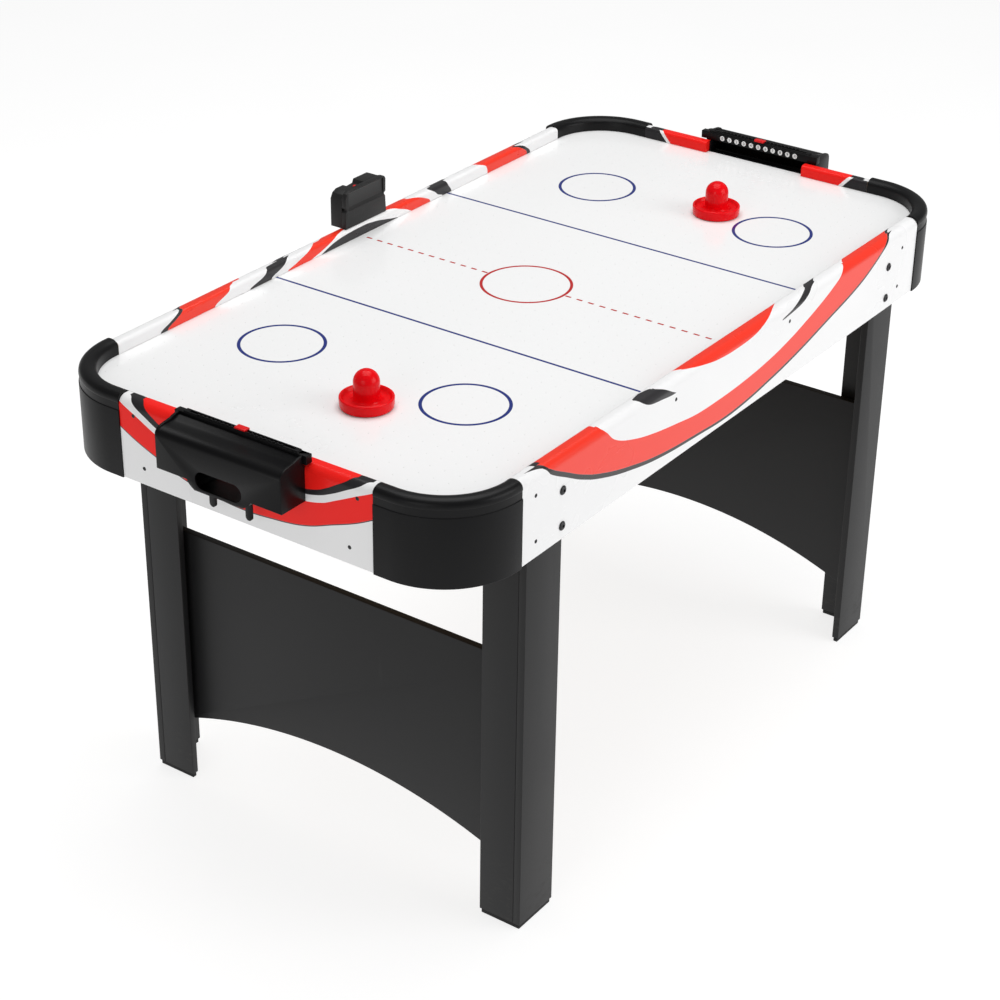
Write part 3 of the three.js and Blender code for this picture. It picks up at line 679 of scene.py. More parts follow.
left_heart = [(-250, 199), (-110, 168), (-88, 161), (-62, 155), (-25, 152), (6, 151.5), (36, 154),
              (62, 159), (84, 164), (104, 168), (250, 199)]
film_left = side_film("film_left", -1.14, left_bands, left_arch, left_gap, left_heart)

# %% [markdown]
# The short end has a red band under a white and a black stripe, all of them smiling curves that
# pass behind the goal box, with red again on top of the rail. It gets less light than the long
# side, so its red is the same red ink painted deeper, as painted shade. The cut ends at the mouth
# are wrapped in red film too, and a fixed spot of the print gives them their colour.

# %% Print of the end aprons
def end_film():
    f, y, s, cloud, white = film_base("film_end", 0.13)
    span = 0.26
    flat = abs(y)

    def curve(points):
        return drawn(f, flat, span, [(-260, points[0][1]), *points])

    low = s.least(FACE_END)
    bottom = curve([(0, 22), (48, 25), (105, 33), (162, 53), (200, 68), (230, 83), (260, 98)])
    stripe = curve([(0, 66), (60, 67), (101, 71), (140, 79), (164, 90), (200, 108), (229, 122), (260, 138)])
    black = curve([(0, 78), (60, 79), (101, 82), (135, 89), (157, 98), (185, 113), (205, 124), (226, 139)])
    top = curve([(0, 85), (60, 86), (101, 90), (130, 96), (150, 105), (168, 116), (181, 124),
                 (196, 139), (240, 160)])
    red_band = low.above(bottom) * (1 - low.above(stripe))
    outline = low.above(bottom - 0.0016) * (1 - low.above(bottom))
    # The red band and the red above the stripes use the end's red, painted deeper as painted shade.
    ink = f.blend(red_band, white, END_RED_PAINTED_SHADE)
    ink = f.blend(outline, ink, BLACK_INK)
    ink = f.blend(low.above(black), ink, BLACK_INK)
    ink = f.blend(low.above(top), ink, END_RED_PAINTED_SHADE)
    rail = s.above(0.146, 0.0001)
    slant = flat + (s - FACE_END) * 0.9
    ink = f.blend(rail * slant.above(0.200), ink, WHITE_INK)
    f.feed(base_color=f.blend(rail * slant.above(0.208), ink, BLACK_INK))
    return film_gloss(f, cloud, s)


film_end = end_film()
print("printed films done")

# %% [markdown]
# ## Aprons
# Each apron is one fibreboard with a rail glued on and the film wrapped round both. The profile
# is swept in a straight line, because that is how the machine wraps it, and the UV map is
# written at the same time. Faces that the film doesn't reach are bare board.

# %% Apron profile and board
def apron_profile(out):
    """(depth, height, film distance) round the section, outward face first."""
    wrap = [(out, APRON_Z)]
    wrap += arc(out - 0.014, RAIL_Z - 0.014, 0.014, 0, 90, 14)
    wrap += arc(out - RAIL_WIDE + 0.006, RAIL_Z - 0.006, 0.006, 90, 180, 8)
    rail_foot = FIELD_TOP + CLEARANCE
    wrap += [(out - RAIL_WIDE, rail_foot)]
    run, rows = 0.0, []
    for i, (d, z) in enumerate(wrap):
        run += math.dist(wrap[i - 1], (d, z)) if i else 0
        rows.append((d, z, run))
    return rows + [(out - APRON_DEEP, rail_foot, run + 0.011), (out - APRON_DEEP, APRON_Z, run + 0.12)]


def apron_board(out, half, place):
    """place(along, depth, height) gives a point; slot 0 is film, slot 1 bare board."""
    rows = apron_profile(out)
    bm = bmesh.new()
    film = bm.loops.layers.uv.new("film")
    count = 24
    spots = [-half + 2 * half * k / count for k in range(count + 1)]
    rings = [[bm.verts.new(place(t, d, z)) for d, z, _ in rows] for t in spots]
    wrapped = len(rows) - 3
    for k in range(count):
        for i in range(len(rows)):
            j = (i + 1) % len(rows)
            face = bm.faces.new((rings[k][i], rings[k + 1][i], rings[k + 1][j], rings[k][j]))
            face.material_index = 0 if i < wrapped else 1
            run = [rows[i][2], rows[i][2], rows[j][2], rows[j][2]]
            for loop, t, s in zip(face.loops, (spots[k], spots[k + 1], spots[k + 1], spots[k]), run):
                loop[film].uv = (t, s)
    for ring in (rings[0][::-1], rings[-1]):
        bm.faces.new(ring).material_index = 1
    bmesh.ops.recalc_face_normals(bm, faces=bm.faces)
    return bm


for side, sy, film in (("right", -1, film_right), ("left", 1, film_left)):
    board = apron_board(SIDE_FACE, 0.5807, lambda t, d, z: (t, d * sy, z))
    through = sorted((sy * 0.36, sy * 0.4))
    cutters = [rod("y", BOLT_HOLE, *through, sx * BOLT_X, z) for sx in (-1, 1) for z in BOLT_Z]
    if side == "left":
        cutters.append(brick((-0.311, 0.35, 0.7045), (-0.289, 0.4, 0.7195)))
        cutters.append(rod("y", 0.0053, 0.35, 0.4, -0.270, 0.712))
    settle(f"apron_{side}", combined(board, cutters), [film, raw_board],
           nodes=[f"side_apron_{side}"], angle=24)

MOUTH_HALF = 0.0985
RED_SPOT = (0.05, 0.13)
for end, sx in ENDS:
    board = apron_board(END_FACE, 0.2297, lambda t, d, z: (d * sx, t, z))
    inner, outer = sorted((sx * 0.66, sx * 0.74))
    mouth = brick((inner, -MOUTH_HALF, 0.733), (outer, MOUTH_HALF, 0.85))
    board = combined(board, [mouth])
    film = board.loops.layers.uv.active
    for face in board.faces:
        middle = face.calc_center_median()
        if abs(abs(middle.y) - MOUTH_HALF) < 1e-4 and abs(face.normal.y) > 0.9:
            face.material_index = 0
            for loop in face.loops:
                loop[film].uv = RED_SPOT
    settle(f"apron_{end}", board, [film_end, raw_board],
           nodes=[f"end_apron_{end}"], angle=24)

# %% [markdown]
# ## Corner caps
# One cap is a moulding about 4 mm thick that turns the corner in a 127 mm radius and covers the
# ends of both aprons. A section swept along the corner gives it in one go. Two shallow grooves
# run under the rounded crown.

# %% Section and sweep of a cap
CAP_RADIUS = 0.127
CAP_END_X, CAP_END_Y = 0.581, 0.230  # where the cap stops along the side and along the end


def softened(points, steps=4):
    """A smooth line through the points, ends kept (a Catmull-Rom spline)."""
    def between(a, b, c, d, t):
        square, cube = 2 * a - 5 * b + 4 * c - d, 3 * b - a - 3 * c + d
        return 0.5 * (2 * b + (c - a) * t + square * t * t + cube * t ** 3)

    out = []
    for i in range(len(points) - 1):
        p0, p1 = points[max(i - 1, 0)], points[i]
        p2, p3 = points[i + 1], points[min(i + 2, len(points) - 1)]
        for k in range(steps):
            out.append(tuple(between(*four, k / steps) for four in zip(p0, p1, p2, p3)))
    return out + [points[-1]]


crown = softened([(1.3, 776.0), (0.7, 777.2), (0.75, 780.5), (2.4, 785.2), (7, 788.9), (14, 790.2),
                  (21, 788.9), (25.8, 785.2), (27.7, 780.5), (28, 767.4)], 5)
hollow = softened([(25.4, 767.4), (24.8, 779), (20, 785), (14, 787.2), (8, 785), (4.8, 779)], 3)
cap_section = (
    [(0.3, 656.0), (0.0, 656.5), (0, 763.2), (0.25, 764), (1.3, 764.9)] + crown
    + hollow + [(4, 661), (20, 661), (20, 656.0)]
)


def cap_path(sx, sy):
    """Points and inward directions along the outside of one corner."""
    path = [((CORNER_X + CAP_RADIUS, y), (-1, 0)) for y in (CAP_END_Y, (CAP_END_Y + CORNER_Y) / 2)]
    for turn in (math.radians(a) for a in range(0, 91, 3)):
        away_x, away_y = math.cos(turn), math.sin(turn)
        place = (CORNER_X + CAP_RADIUS * away_x, CORNER_Y + CAP_RADIUS * away_y)
        path.append((place, (-away_x, -away_y)))
    path.append(((CAP_END_X, CORNER_Y + CAP_RADIUS), (0, -1)))
    return [((x * sx, y * sy), (nx * sx, ny * sy)) for (x, y), (nx, ny) in path]


for corner, sx, sy in CORNERS:
    bm = bmesh.new()
    rings = [
        [bm.verts.new((x + nx * d * MM, y + ny * d * MM, z * MM)) for d, z in cap_section]
        for (x, y), (nx, ny) in cap_path(sx, sy)
    ]
    for a, b in zip(rings, rings[1:]):
        for i in range(len(cap_section)):
            j = (i + 1) % len(cap_section)
            bm.faces.new((a[i], b[i], b[j], a[j]))
    bm.faces.new(rings[0][::-1])
    bm.faces.new(rings[-1])
    settle(f"cap_{corner}", outward(bm), cap_black,
           nodes=[f"corner_cap_{corner}"], angle=28)

# %% [markdown]
# ## The field
# The field is a 12 mm board with a glossy white laminate, drilled with rows of 1 mm air holes
# an inch apart. The holes are real openings here. Geometry Nodes lay small circles on a grid,
# keep those inside the rounded outline, fill the plane around them and push it down.

# %% A node tree helper
class Tree:
    """A Geometry Nodes tree whose inputs have names."""

    def __init__(self, name, **inputs):
        self.group = bpy.data.node_groups.new(name, "GeometryNodeTree")
        self.group.interface.new_socket("Geometry", in_out="OUTPUT", socket_type="NodeSocketGeometry")
        self.ids = {}
        for label, (kind, value) in inputs.items():
            made = self.group.interface.new_socket(label, in_out="INPUT", socket_type=f"NodeSocket{kind}")
            if kind not in ("Material", "Object"):
                made.default_value = value
            self.ids[label] = (made.identifier, value)
        self.entry = self.group.nodes.new("NodeGroupInput")
        self.exit = self.group.nodes.new("NodeGroupOutput")

    def input(self, label):
        return self.entry.outputs[label]

    def node(self, kind, settings=None, sockets=None, out=0):
        made = self.group.nodes.new(kind)
        for key, value in (settings or {}).items():
            setattr(made, key, value)
        for key, value in (sockets or {}).items():
            for one in value if isinstance(value, list) else [value]:
                if isinstance(one, bpy.types.NodeSocket):
                    self.group.links.new(one, made.inputs[key])
                else:
                    made.inputs[key].default_value = one
        return made.outputs[out]

    def finish(self, geometry, material):
        real = self.node("GeometryNodeRealizeInstances", None, {0: geometry})
        last = self.node("GeometryNodeSetMaterial", None, {"Geometry": real, "Material": material})
        self.group.links.new(last, self.exit.inputs[0])

    def mesh(self):
        """Runs the tree once and gives the result as a bmesh."""
        holder = bpy.data.objects.new("tree_bench", bpy.data.meshes.new("tree_bench"))
        scene.collection.objects.link(holder)
        step = holder.modifiers.new("tree", "NODES")
        step.node_group = self.group
        for identifier, value in self.ids.values():
            step[identifier] = value
        bpy.context.view_layer.update()
        graph = bpy.context.evaluated_depsgraph_get()
        result = bpy.data.meshes.new_from_object(holder.evaluated_get(graph))
        bm = bmesh.new()
        bm.from_mesh(result)
        old = holder.data
        holder.modifiers.clear()
        bpy.data.objects.remove(holder)
        bpy.data.meshes.remove(old)
        bpy.data.meshes.remove(result)
        return bm


print("tree helper ready")

# %% [markdown]
# The laminate is printed too: two blue lines, a dashed red centre line and five rings. All of
# them are distances on the Object coordinates, so they stay sharp at any size. Play has left
# faint puck marks and a duller band in front of each goal.

# %% Field laminate
CENTRE_Y = 0.0188
LINE_X = (0.2405, -0.219)
RING_SPOTS = ((0.4225, 0.162), (-0.4045, 0.186), (0.4275, -0.1875), (-0.404, -0.157))
DASH_START, DASH_PITCH = 0.0755, 0.0215


def laminate():
    f = Finish("field_laminate", coat_roughness=0.05)
    x, y, z = f.place()

    def ring(cx, cy, radius, half):
        away = f.node("ShaderNodeCombineXYZ", None, {0: x - cx, 1: y - cy})
        far = f.node("ShaderNodeVectorMath", {"operation": "LENGTH"}, {0: away}, out="Value")
        return 1 - abs(far - radius).above(half, 0.0003)

    cloud = f.noise(3.5, 3)
    trace = f.noise(16, 6, (1, 0.35, 1), 0.75).ramp(0.60, 0.74)
    goal_wear = abs(x).ramp(0.42, 0.66) * (1 - abs(y).ramp(0.06, 0.2)) * f.noise(26, 5).ramp(0.42, 0.7)
    white = f.blend(cloud, (0.90, 0.905, 0.905), (0.94, 0.94, 0.94))
    white = f.blend(trace * 0.05 + goal_wear * 0.06, white, (0.55, 0.55, 0.55))
    blue = 2
    for line_x in LINE_X:
        blue = blue - abs(x - line_x).above(0.0024, 0.0003)
    for spot_x, spot_y in RING_SPOTS:
        blue = blue + ring(spot_x, spot_y, 0.0653, 0.0027)
    centre = ring(0, CENTRE_Y, 0.0724, 0.0025)
    off_centre = abs(y - CENTRE_Y)
    beat = f.node("ShaderNodeMath", {"operation": "FRACT"}, {0: (off_centre - DASH_START) / DASH_PITCH})
    dash = (1 - abs(beat - 0.27).above(0.25, 0.01)) * (1 - abs(x + 0.001).above(0.0021, 0.0003))
    dash = dash * off_centre.above(DASH_START, 0.0005) * (1 - abs(y).above(0.350, 0.0005))
    ink = f.blend(blue.least(1), white, (0.003, 0.018, 0.19))
    ink = f.blend(centre, ink, (0.50, 0.006, 0.006))
    f.feed(base_color=f.blend(dash, ink, (0.50, 0.020, 0.016)))
    f.feed(roughness=0.16 + cloud * 0.07 + trace * 0.12 + goal_wear * 0.12)
    f.feed(coat_weight=0.1 + cloud * 0.05)
    return f.relief((f.noise(150, 3), 0.00002), (trace, 0.00001))


field_white = laminate()

# %% Field board with its holes
FIELD_ROUND, HOLED_ROUND, FIELD_THICK = 0.1095, 0.092, 0.012
PITCH, GAPS_LONG, GAPS_WIDE = 0.0254, 52, 26
outline = []
for sx, sy, start in ((1, 1, 0), (-1, 1, 90), (-1, -1, 180), (1, -1, 270)):
    outline += arc(sx * CORNER_X, sy * CORNER_Y, FIELD_ROUND, start, start + 90, 16)
rim_mesh = bpy.data.meshes.new("field_rim")
rim_mesh.from_pydata(
    [(x, y, FIELD_TOP) for x, y in outline], [(i, (i + 1) % len(outline)) for i in range(len(outline))], [])
rim = bpy.data.objects.new("field_rim", rim_mesh)
scene.collection.objects.link(rim)

holes = Tree("drilled_field", **{
    "Outline": ("Object", rim), "Hole Radius": ("Float", 0.00055),
    "Finish": ("Material", field_white.material)})
n = holes.node
grid = n("GeometryNodeMeshGrid", None, {
    "Size X": PITCH * GAPS_LONG, "Size Y": PITCH * GAPS_WIDE,
    "Vertices X": GAPS_LONG + 1, "Vertices Y": GAPS_WIDE + 1})
spot = n("GeometryNodeInputPosition")
bend = n("ShaderNodeVectorMath", {"operation": "ABSOLUTE"}, {0: spot})
past = n("ShaderNodeVectorMath", {"operation": "SUBTRACT"}, {0: bend, 1: (CORNER_X, CORNER_Y, 0)})
past = n("ShaderNodeVectorMath", {"operation": "MAXIMUM"}, {0: past, 1: (0, 0, 0)})
reach = n("ShaderNodeVectorMath", {"operation": "LENGTH"}, {0: past}, out="Value")
outside = n("FunctionNodeCompare", {"operation": "GREATER_THAN"}, {"A": reach, "B": HOLED_ROUND})
kept = n("GeometryNodeDeleteGeometry", {"domain": "POINT"}, {"Geometry": grid, "Selection": outside})
circle = n("GeometryNodeCurvePrimitiveCircle", None, {"Resolution": 8, "Radius": holes.input("Hole Radius")})
dots = n("GeometryNodeInstanceOnPoints", None, {"Points": kept, "Instance": circle})
dots = n("GeometryNodeRealizeInstances", None, {0: dots})
dots = n("GeometryNodeTransform", None, {"Geometry": dots, "Translation": (0, 0, FIELD_TOP)})
edge = n("GeometryNodeObjectInfo", None, {"Object": holes.input("Outline")}, out="Geometry")
edge = n("GeometryNodeMeshToCurve", None, {"Mesh": edge})
both = n("GeometryNodeJoinGeometry", None, {0: [edge, dots]})
sheet = n("GeometryNodeFillCurve", None, {"Curve": both})
holes.finish(sheet, holes.input("Finish"))
bm = holes.mesh()
bpy.data.objects.remove(rim)
for v in bm.verts:
    v.co.z = FIELD_TOP
pushed = bmesh.ops.extrude_face_region(bm, geom=list(bm.faces), use_keep_orig=True)
for v in (g for g in pushed["geom"] if isinstance(g, bmesh.types.BMVert)):
    v.co.z = FIELD_TOP - FIELD_THICK
outward(bm)
print("air holes:", sum(1 for e in bm.edges if abs(e.verts[0].co.z - e.verts[1].co.z) > 0.01) // 8)
settle("drilled_field", bm, field_white, nodes=["playfield"], angle=30)

# %% [markdown]
# ## Legs, feet and end panels
# The legs are two black boards that meet in an L. Flat boards look like boards only when their
# edges are eased and the light runs along them, so each one is built from its box in the frame,
# drilled where the bolts pass and rounded by less than a millimetre.

# %% Boards of the legs
for corner, sx, sy in CORNERS:
    lo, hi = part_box(f"leg_side_board_{corner}")
    through = sorted((sy * 0.33, sy * 0.38))
    drills = [rod("y", BOLT_HOLE, *through, sx * BOLT_X, z) for z in BOLT_Z]
    board = ease(combined(ease(brick(lo, hi), 0.0009, 3), drills), 0.0003, 1, 60)
    settle(f"leg_side_{corner}", board, black_film, nodes=[f"leg_side_board_{corner}"])
    lo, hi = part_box(f"leg_end_board_{corner}")
    settle(f"leg_end_{corner}", ease(brick(lo, hi), 0.0009, 3), black_film,
           nodes=[f"leg_end_board_{corner}"])
    foot = ease(from_node(f"foot_{corner}"), 0.0012, 3)
    settle(f"glide_{corner}", foot, foot_black, nodes=[f"foot_{corner}"])

# %% [markdown]
# An end panel is a board with a straight top and an arched underside, held between the legs.
# The arch is one circle through three known points, its two ends and its crown.

# %% Arched end panels
half, rise = 0.3524, 0.076
crown_z, panel_top = 0.158, 0.455
radius = (half * half + rise * rise) / (2 * rise)
sweep_angle = math.degrees(math.asin(half / radius))
under = arc(0, crown_z - radius, radius, 90 - sweep_angle, 90 + sweep_angle, 72)
for end, sx in ENDS:
    lo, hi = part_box(f"end_panel_{end}")
    panel = prism(under + [(-half, panel_top), (half, panel_top)], "x", lo[0], hi[0])
    settle(f"panel_{end}", ease(panel, 0.0009, 3), black_film, nodes=[f"end_panel_{end}"])

# %% [markdown]
# ## Bolts, nuts and screws
# Eight bolts hold the legs, and small screws hold the aprons to the corner blocks. Fasteners
# repeat, so one shape is modelled and Geometry Nodes place it at a list of points, each turned
# by its own amount as a real screwdriver leaves it.

# %% Points that carry fasteners
def scattered(name, master, spots, finish, nodes=()):
    """Places the master (drawn along +Z) at (point, axis, turn) for each spot."""
    source = bpy.data.objects.new(name + "_master", bpy.data.meshes.new(name + "_master"))
    master.to_mesh(source.data)
    master.free()
    scene.collection.objects.link(source)
    holder_mesh = bpy.data.meshes.new(name + "_points")
    holder_mesh.from_pydata([p for p, _, _ in spots], [], [])
    holder_mesh.attributes.new("facing", "FLOAT_VECTOR", "POINT")
    holder_mesh.attributes.new("turning", "FLOAT", "POINT")
    for i, (_, axis, angle) in enumerate(spots):
        holder_mesh.attributes["facing"].data[i].vector = axis
        holder_mesh.attributes["turning"].data[i].value = angle
    holder = bpy.data.objects.new(name + "_points", holder_mesh)
    scene.collection.objects.link(holder)
    tree = Tree(name, **{
        "Points": ("Object", holder), "Fastener": ("Object", source),
        "Size": ("Float", 1.0), "Finish": ("Material", finish.material)})
    n = tree.node
    points = n("GeometryNodeObjectInfo", None, {"Object": tree.input("Points")}, out="Geometry")
    shape = n("GeometryNodeObjectInfo", None, {"Object": tree.input("Fastener")}, out="Geometry")
    axis = n("GeometryNodeInputNamedAttribute", {"data_type": "FLOAT_VECTOR"}, {"Name": "facing"})
    angle = n("GeometryNodeInputNamedAttribute", {"data_type": "FLOAT"}, {"Name": "turning"})
    spin = n("FunctionNodeAxisAngleToRotation", None, {"Axis": (0, 0, 1), "Angle": angle})
    tilt = n("FunctionNodeAlignRotationToVector", {"axis": "Z"}, {"Rotation": spin, "Vector": axis})
    placed = n("GeometryNodeInstanceOnPoints", None, {
        "Points": points, "Instance": shape, "Rotation": tilt, "Scale": tree.input("Size")})
    tree.finish(placed, tree.input("Finish"))
    bm = outward(tree.mesh())
    for done in (source, holder):
        bpy.data.objects.remove(done)
    return settle(name, bm, finish, nodes=nodes, angle=40)


def screw_head(radius, height, depth, shank, length):
    """A domed head with a cross recess on a plain shank, its seat at z = 0."""
    dome = [(0, height), (radius * 0.45, height * 0.96), (radius * 0.8, height * 0.62),
            (radius * 0.97, height * 0.2), (radius, 0.0), (shank, 0.0), (shank, -length), (0, -length)]
    long, short = radius * 0.56, radius * 0.12
    floor_z, open_z = height - depth, height + 0.01
    bars = [brick((-long, -short, floor_z), (long, short, open_z)),
            brick((-short, -long, floor_z), (short, long, open_z))]
    return combined(lathe(dome, 20), bars)


def bolt_body():
    """Pan head with a hexagon socket and a thin washer, its seat at z = 0."""
    head = lathe([(0, 0.0026), (0.0036, 0.0026), (0.0050, 0.0023), (0.0060, 0.0016), (0.0062, 0.0007),
                  (0.0070, 0.0007), (0.0070, 0.0001), (0.0040, 0.0001), (0.0040, -0.0310), (0.0036, -0.0314),
                  (0, -0.0314)], 32)
    socket = prism(arc(0, 0, 0.0027, 0, 360, 6)[:-1], "z", 0.0008, 0.01)
    return combined(head, [socket])


bolt_spots = [
    ((sx * BOLT_X, sy * (SIDE_FACE + 0.0003), z), (0, sy, 0), 0.7 + 1.3 * i + sx + 2 * sy)
    for i, z in enumerate(BOLT_Z) for sx in (-1, 1) for sy in (-1, 1)
]
scattered("leg_bolts", bolt_body(), bolt_spots, bolt_black,
          [f"leg_bolt_{c}_{h}" for c, _, _ in CORNERS for h in ("lower", "upper")])

hexagon = prism(arc(0, 0, 0.0072, 0, 360, 6)[:-1], "z", 0, 0.0048)
nut = combined(ease(hexagon, 0.0004, 1), [rod("z", 0.00402, -0.01, 0.01, 0, 0)])
nut_spots = [
    ((sx * BOLT_X, sy * 0.35265, z), (0, -sy, 0), 0.4 * sx + z)
    for z in BOLT_Z for sx in (-1, 1) for sy in (-1, 1)
]
scattered("leg_nuts", nut, nut_spots, bolt_black)

screw_spots = []
SIDE_SCREWS = ((-0.548, 0.754), (-0.546, 0.682), (0.530, 0.753), (0.524, 0.685), (-0.190, 0.756),
               (0.146, 0.758))
for sy in (-1, 1):
    for x, z in SIDE_SCREWS:
        screw_spots.append(((x, sy * SIDE_FACE, z), (0, sy, 0), 3 * x + z * 40))
for sx in (-1, 1):
    for y, z in ((-0.203, 0.763), (0.203, 0.763), (-0.188, 0.683), (0.188, 0.683)):
        screw_spots.append(((sx * END_FACE, y, z), (sx, 0, 0), 9 * y + z * 31))
screw = screw_head(0.0031, 0.0009, 0.0008, 0.0016, 0.006)
scattered("apron_screws", screw, screw_spots, bolt_black)

# %% [markdown]
# ## Goals
# Each goal is a thin moulded box hung outside the end apron. Its top has a round shoulder that
# climbs to the number bar, with a higher cheek at each side. The puck drops inside and is taken
# out through the slot. The box is drawn as a profile, joined with its cheeks and bulge, and
# hollowed. The mouth's sill ends in a short lip, so the puck falls clear of the wall.

# %% Goal box
GOAL_HALF, CHEEK_INSIDE = 0.113, 0.1095
LUG_Y, LUG_HALF = 0.033, 0.0055


def mirrored(points, sx):
    return [(x * sx * MM, z * MM) for x, z in points]


def goal_shell(sx):
    top = softened([(762, 780.5), (761, 784.8), (758.4, 788.6), (753.5, 791.2), (747, 792.2), (738, 792.0),
                    (730, 792.2), (725, 793.0), (717.5, 795.6), (714.4, 796.6)], 4)
    cheek = softened([(762, 782), (760.8, 787), (757, 791.2), (751, 794), (742, 795.6), (732, 797),
                      (725, 799.2), (714.4, 801)], 4)
    inside = softened([(759.4, 780), (758.7, 783.6), (757.2, 786.2), (752.5, 788.6), (747, 789.5),
                       (738, 789.4), (729, 789.8), (718, 790.4)], 3)

    def body(line):
        return mirrored([(711.3, 730), (761.2, 730), (762, 730.8)] + line + [(714.4, 787), (711.3, 783)], sx)

    bulge = [(-58, 731), (-55.5, 726.6), (-51, 722), (-44, 717.5), (44, 717.5), (51, 722), (55.5, 726.6),
             (58, 731)]
    front = sorted((sx * 0.7113, sx * 0.762))
    shell = combined(prism(body(top), "y", -GOAL_HALF, GOAL_HALF), [
        prism(body(cheek), "y", CHEEK_INSIDE, GOAL_HALF), prism(body(cheek), "y", -GOAL_HALF, -CHEEK_INSIDE),
        prism([(y * MM, z * MM) for y, z in bulge], "x", *front)], "UNION")
    room = [(699, 732.6), (759.4, 732.6)] + inside + [(699, 790.6)]
    dip = [(-56, 733), (-53, 728.5), (-43, 720.2), (43, 720.2), (53, 728.5), (56, 733)]
    slot = arc(0.0285, 0.736, 0.0136, -90, 90, 14) + arc(-0.0285, 0.736, 0.0136, 90, 270, 14)
    reach = sorted((sx * 0.699, sx * 0.7594))
    through = sorted((sx * 0.750, sx * 0.775))
    shell = combined(shell, [
        prism(mirrored(room, sx), "y", -CHEEK_INSIDE, CHEEK_INSIDE),
        prism([(y * MM, z * MM) for y, z in dip], "x", *reach), prism(slot, "x", *through)])
    lugs = []
    for y in (-LUG_Y, LUG_Y):
        tongue = [(y - LUG_HALF, 0.7190), (y - LUG_HALF, 0.690)] + arc(y, 0.690, LUG_HALF, 180, 360, 10)
        lugs.append(prism(tongue + [(y + LUG_HALF, 0.7190)], "x", *sorted((sx * 0.735, sx * 0.739))))
    shell = combined(shell, lugs, "UNION")
    bmesh.ops.remove_doubles(shell, verts=shell.verts, dist=1e-5)
    bmesh.ops.dissolve_limit(shell, angle_limit=math.radians(0.5), verts=shell.verts, edges=shell.edges)
    return shell


for end, sx in ENDS:
    shell = ease(goal_shell(sx), 0.0006, 2, 50)
    settle(f"goal_shell_{end}", shell, goal_black, nodes=[f"goal_box_{end}"], angle=32)
    inner, outer = sorted((sx * 0.716, sx * 0.7225))
    lip = brick((inner, -0.0960, 0.7640), (outer, 0.0960, 0.7667))
    liner = ease(combined(from_node(f"goal_liner_{end}"), [lip], "UNION"), 0.0005, 2)
    settle(f"goal_mouth_{end}", liner, goal_black, nodes=[f"goal_liner_{end}"])

# %% [markdown]
# ## Number bars and pointers
# A bar lies over the rail above each mouth. Eleven white discs carry the numbers 0 to 10, and a
# red pointer slides in the groove of the raised track, which stops short of the bar's ends.
# Small ribs along the track let the pointer click from one number to the next.

# %% The bar
NUMBERS, NUMBER_PITCH, FIRST_NUMBER, NUMBER_Z = 11, 0.015, -0.075, 0.7941
for end, sx in ENDS:
    bar = ease(from_node(f"score_plate_{end}"), 0.0007, 3)
    settle(f"number_bar_{end}", bar, goal_black, nodes=[f"score_plate_{end}"])
    pointer = ease(from_node(f"score_pointer_{end}"), 0.0005, 3)
    settle(f"pointer_slide_{end}", pointer, pointer_red, body=f"pointer_{end}",
           nodes=[f"score_pointer_{end}"])


# %% [markdown]
# The discs and the click ribs repeat at one pitch, so a tree lays them on a line of points. The
# digits are text turned into mesh, then stood up against the bar.

# %% Discs, ribs and digits
def row_of(name, count, pitch, master, finish):
    """Copies of the master on a line across the table, from the first number on."""
    source = bpy.data.objects.new(name + "_master", bpy.data.meshes.new(name + "_master"))
    master.to_mesh(source.data)
    master.free()
    scene.collection.objects.link(source)
    tree = Tree(name, **{
        "Shape": ("Object", source), "Count": ("Int", count), "Pitch": ("Float", pitch),
        "Start": ("Vector", (0, FIRST_NUMBER, 0)), "Finish": ("Material", finish.material)})
    n = tree.node
    step = n("ShaderNodeCombineXYZ", None, {1: tree.input("Pitch")})
    line = n("GeometryNodeMeshLine", None, {"Count": tree.input("Count"), "Offset": step})
    moved = n("GeometryNodeTransform", None, {"Geometry": line, "Translation": tree.input("Start")})
    shape = n("GeometryNodeObjectInfo", None, {"Object": tree.input("Shape")}, out="Geometry")
    placed = n("GeometryNodeInstanceOnPoints", None, {"Points": moved, "Instance": shape})
    tree.finish(placed, tree.input("Finish"))
    bm = outward(tree.mesh())
    bpy.data.objects.remove(source)
    return settle(name, bm, finish, angle=40)


disc_white = Finish("disc_white")
worn = disc_white.noise(300, 5, (1, 1, 1), 0.7)
disc_white.feed(base_color=disc_white.blend(worn.ramp(0.5, 0.75), (0.86, 0.86, 0.85), (0.62, 0.62, 0.60)))
disc_white.feed(roughness=0.32 + worn * 0.2).relief((worn, 0.00004))
digit_ink = Finish("digit_ink")
thin = digit_ink.noise(500, 4)
digit_ink.feed(base_color=digit_ink.blend(thin, (0.02, 0.02, 0.02), (0.06, 0.06, 0.06)))
digit_ink.feed(roughness=0.4 + thin * 0.2).relief((thin, 0.00003))

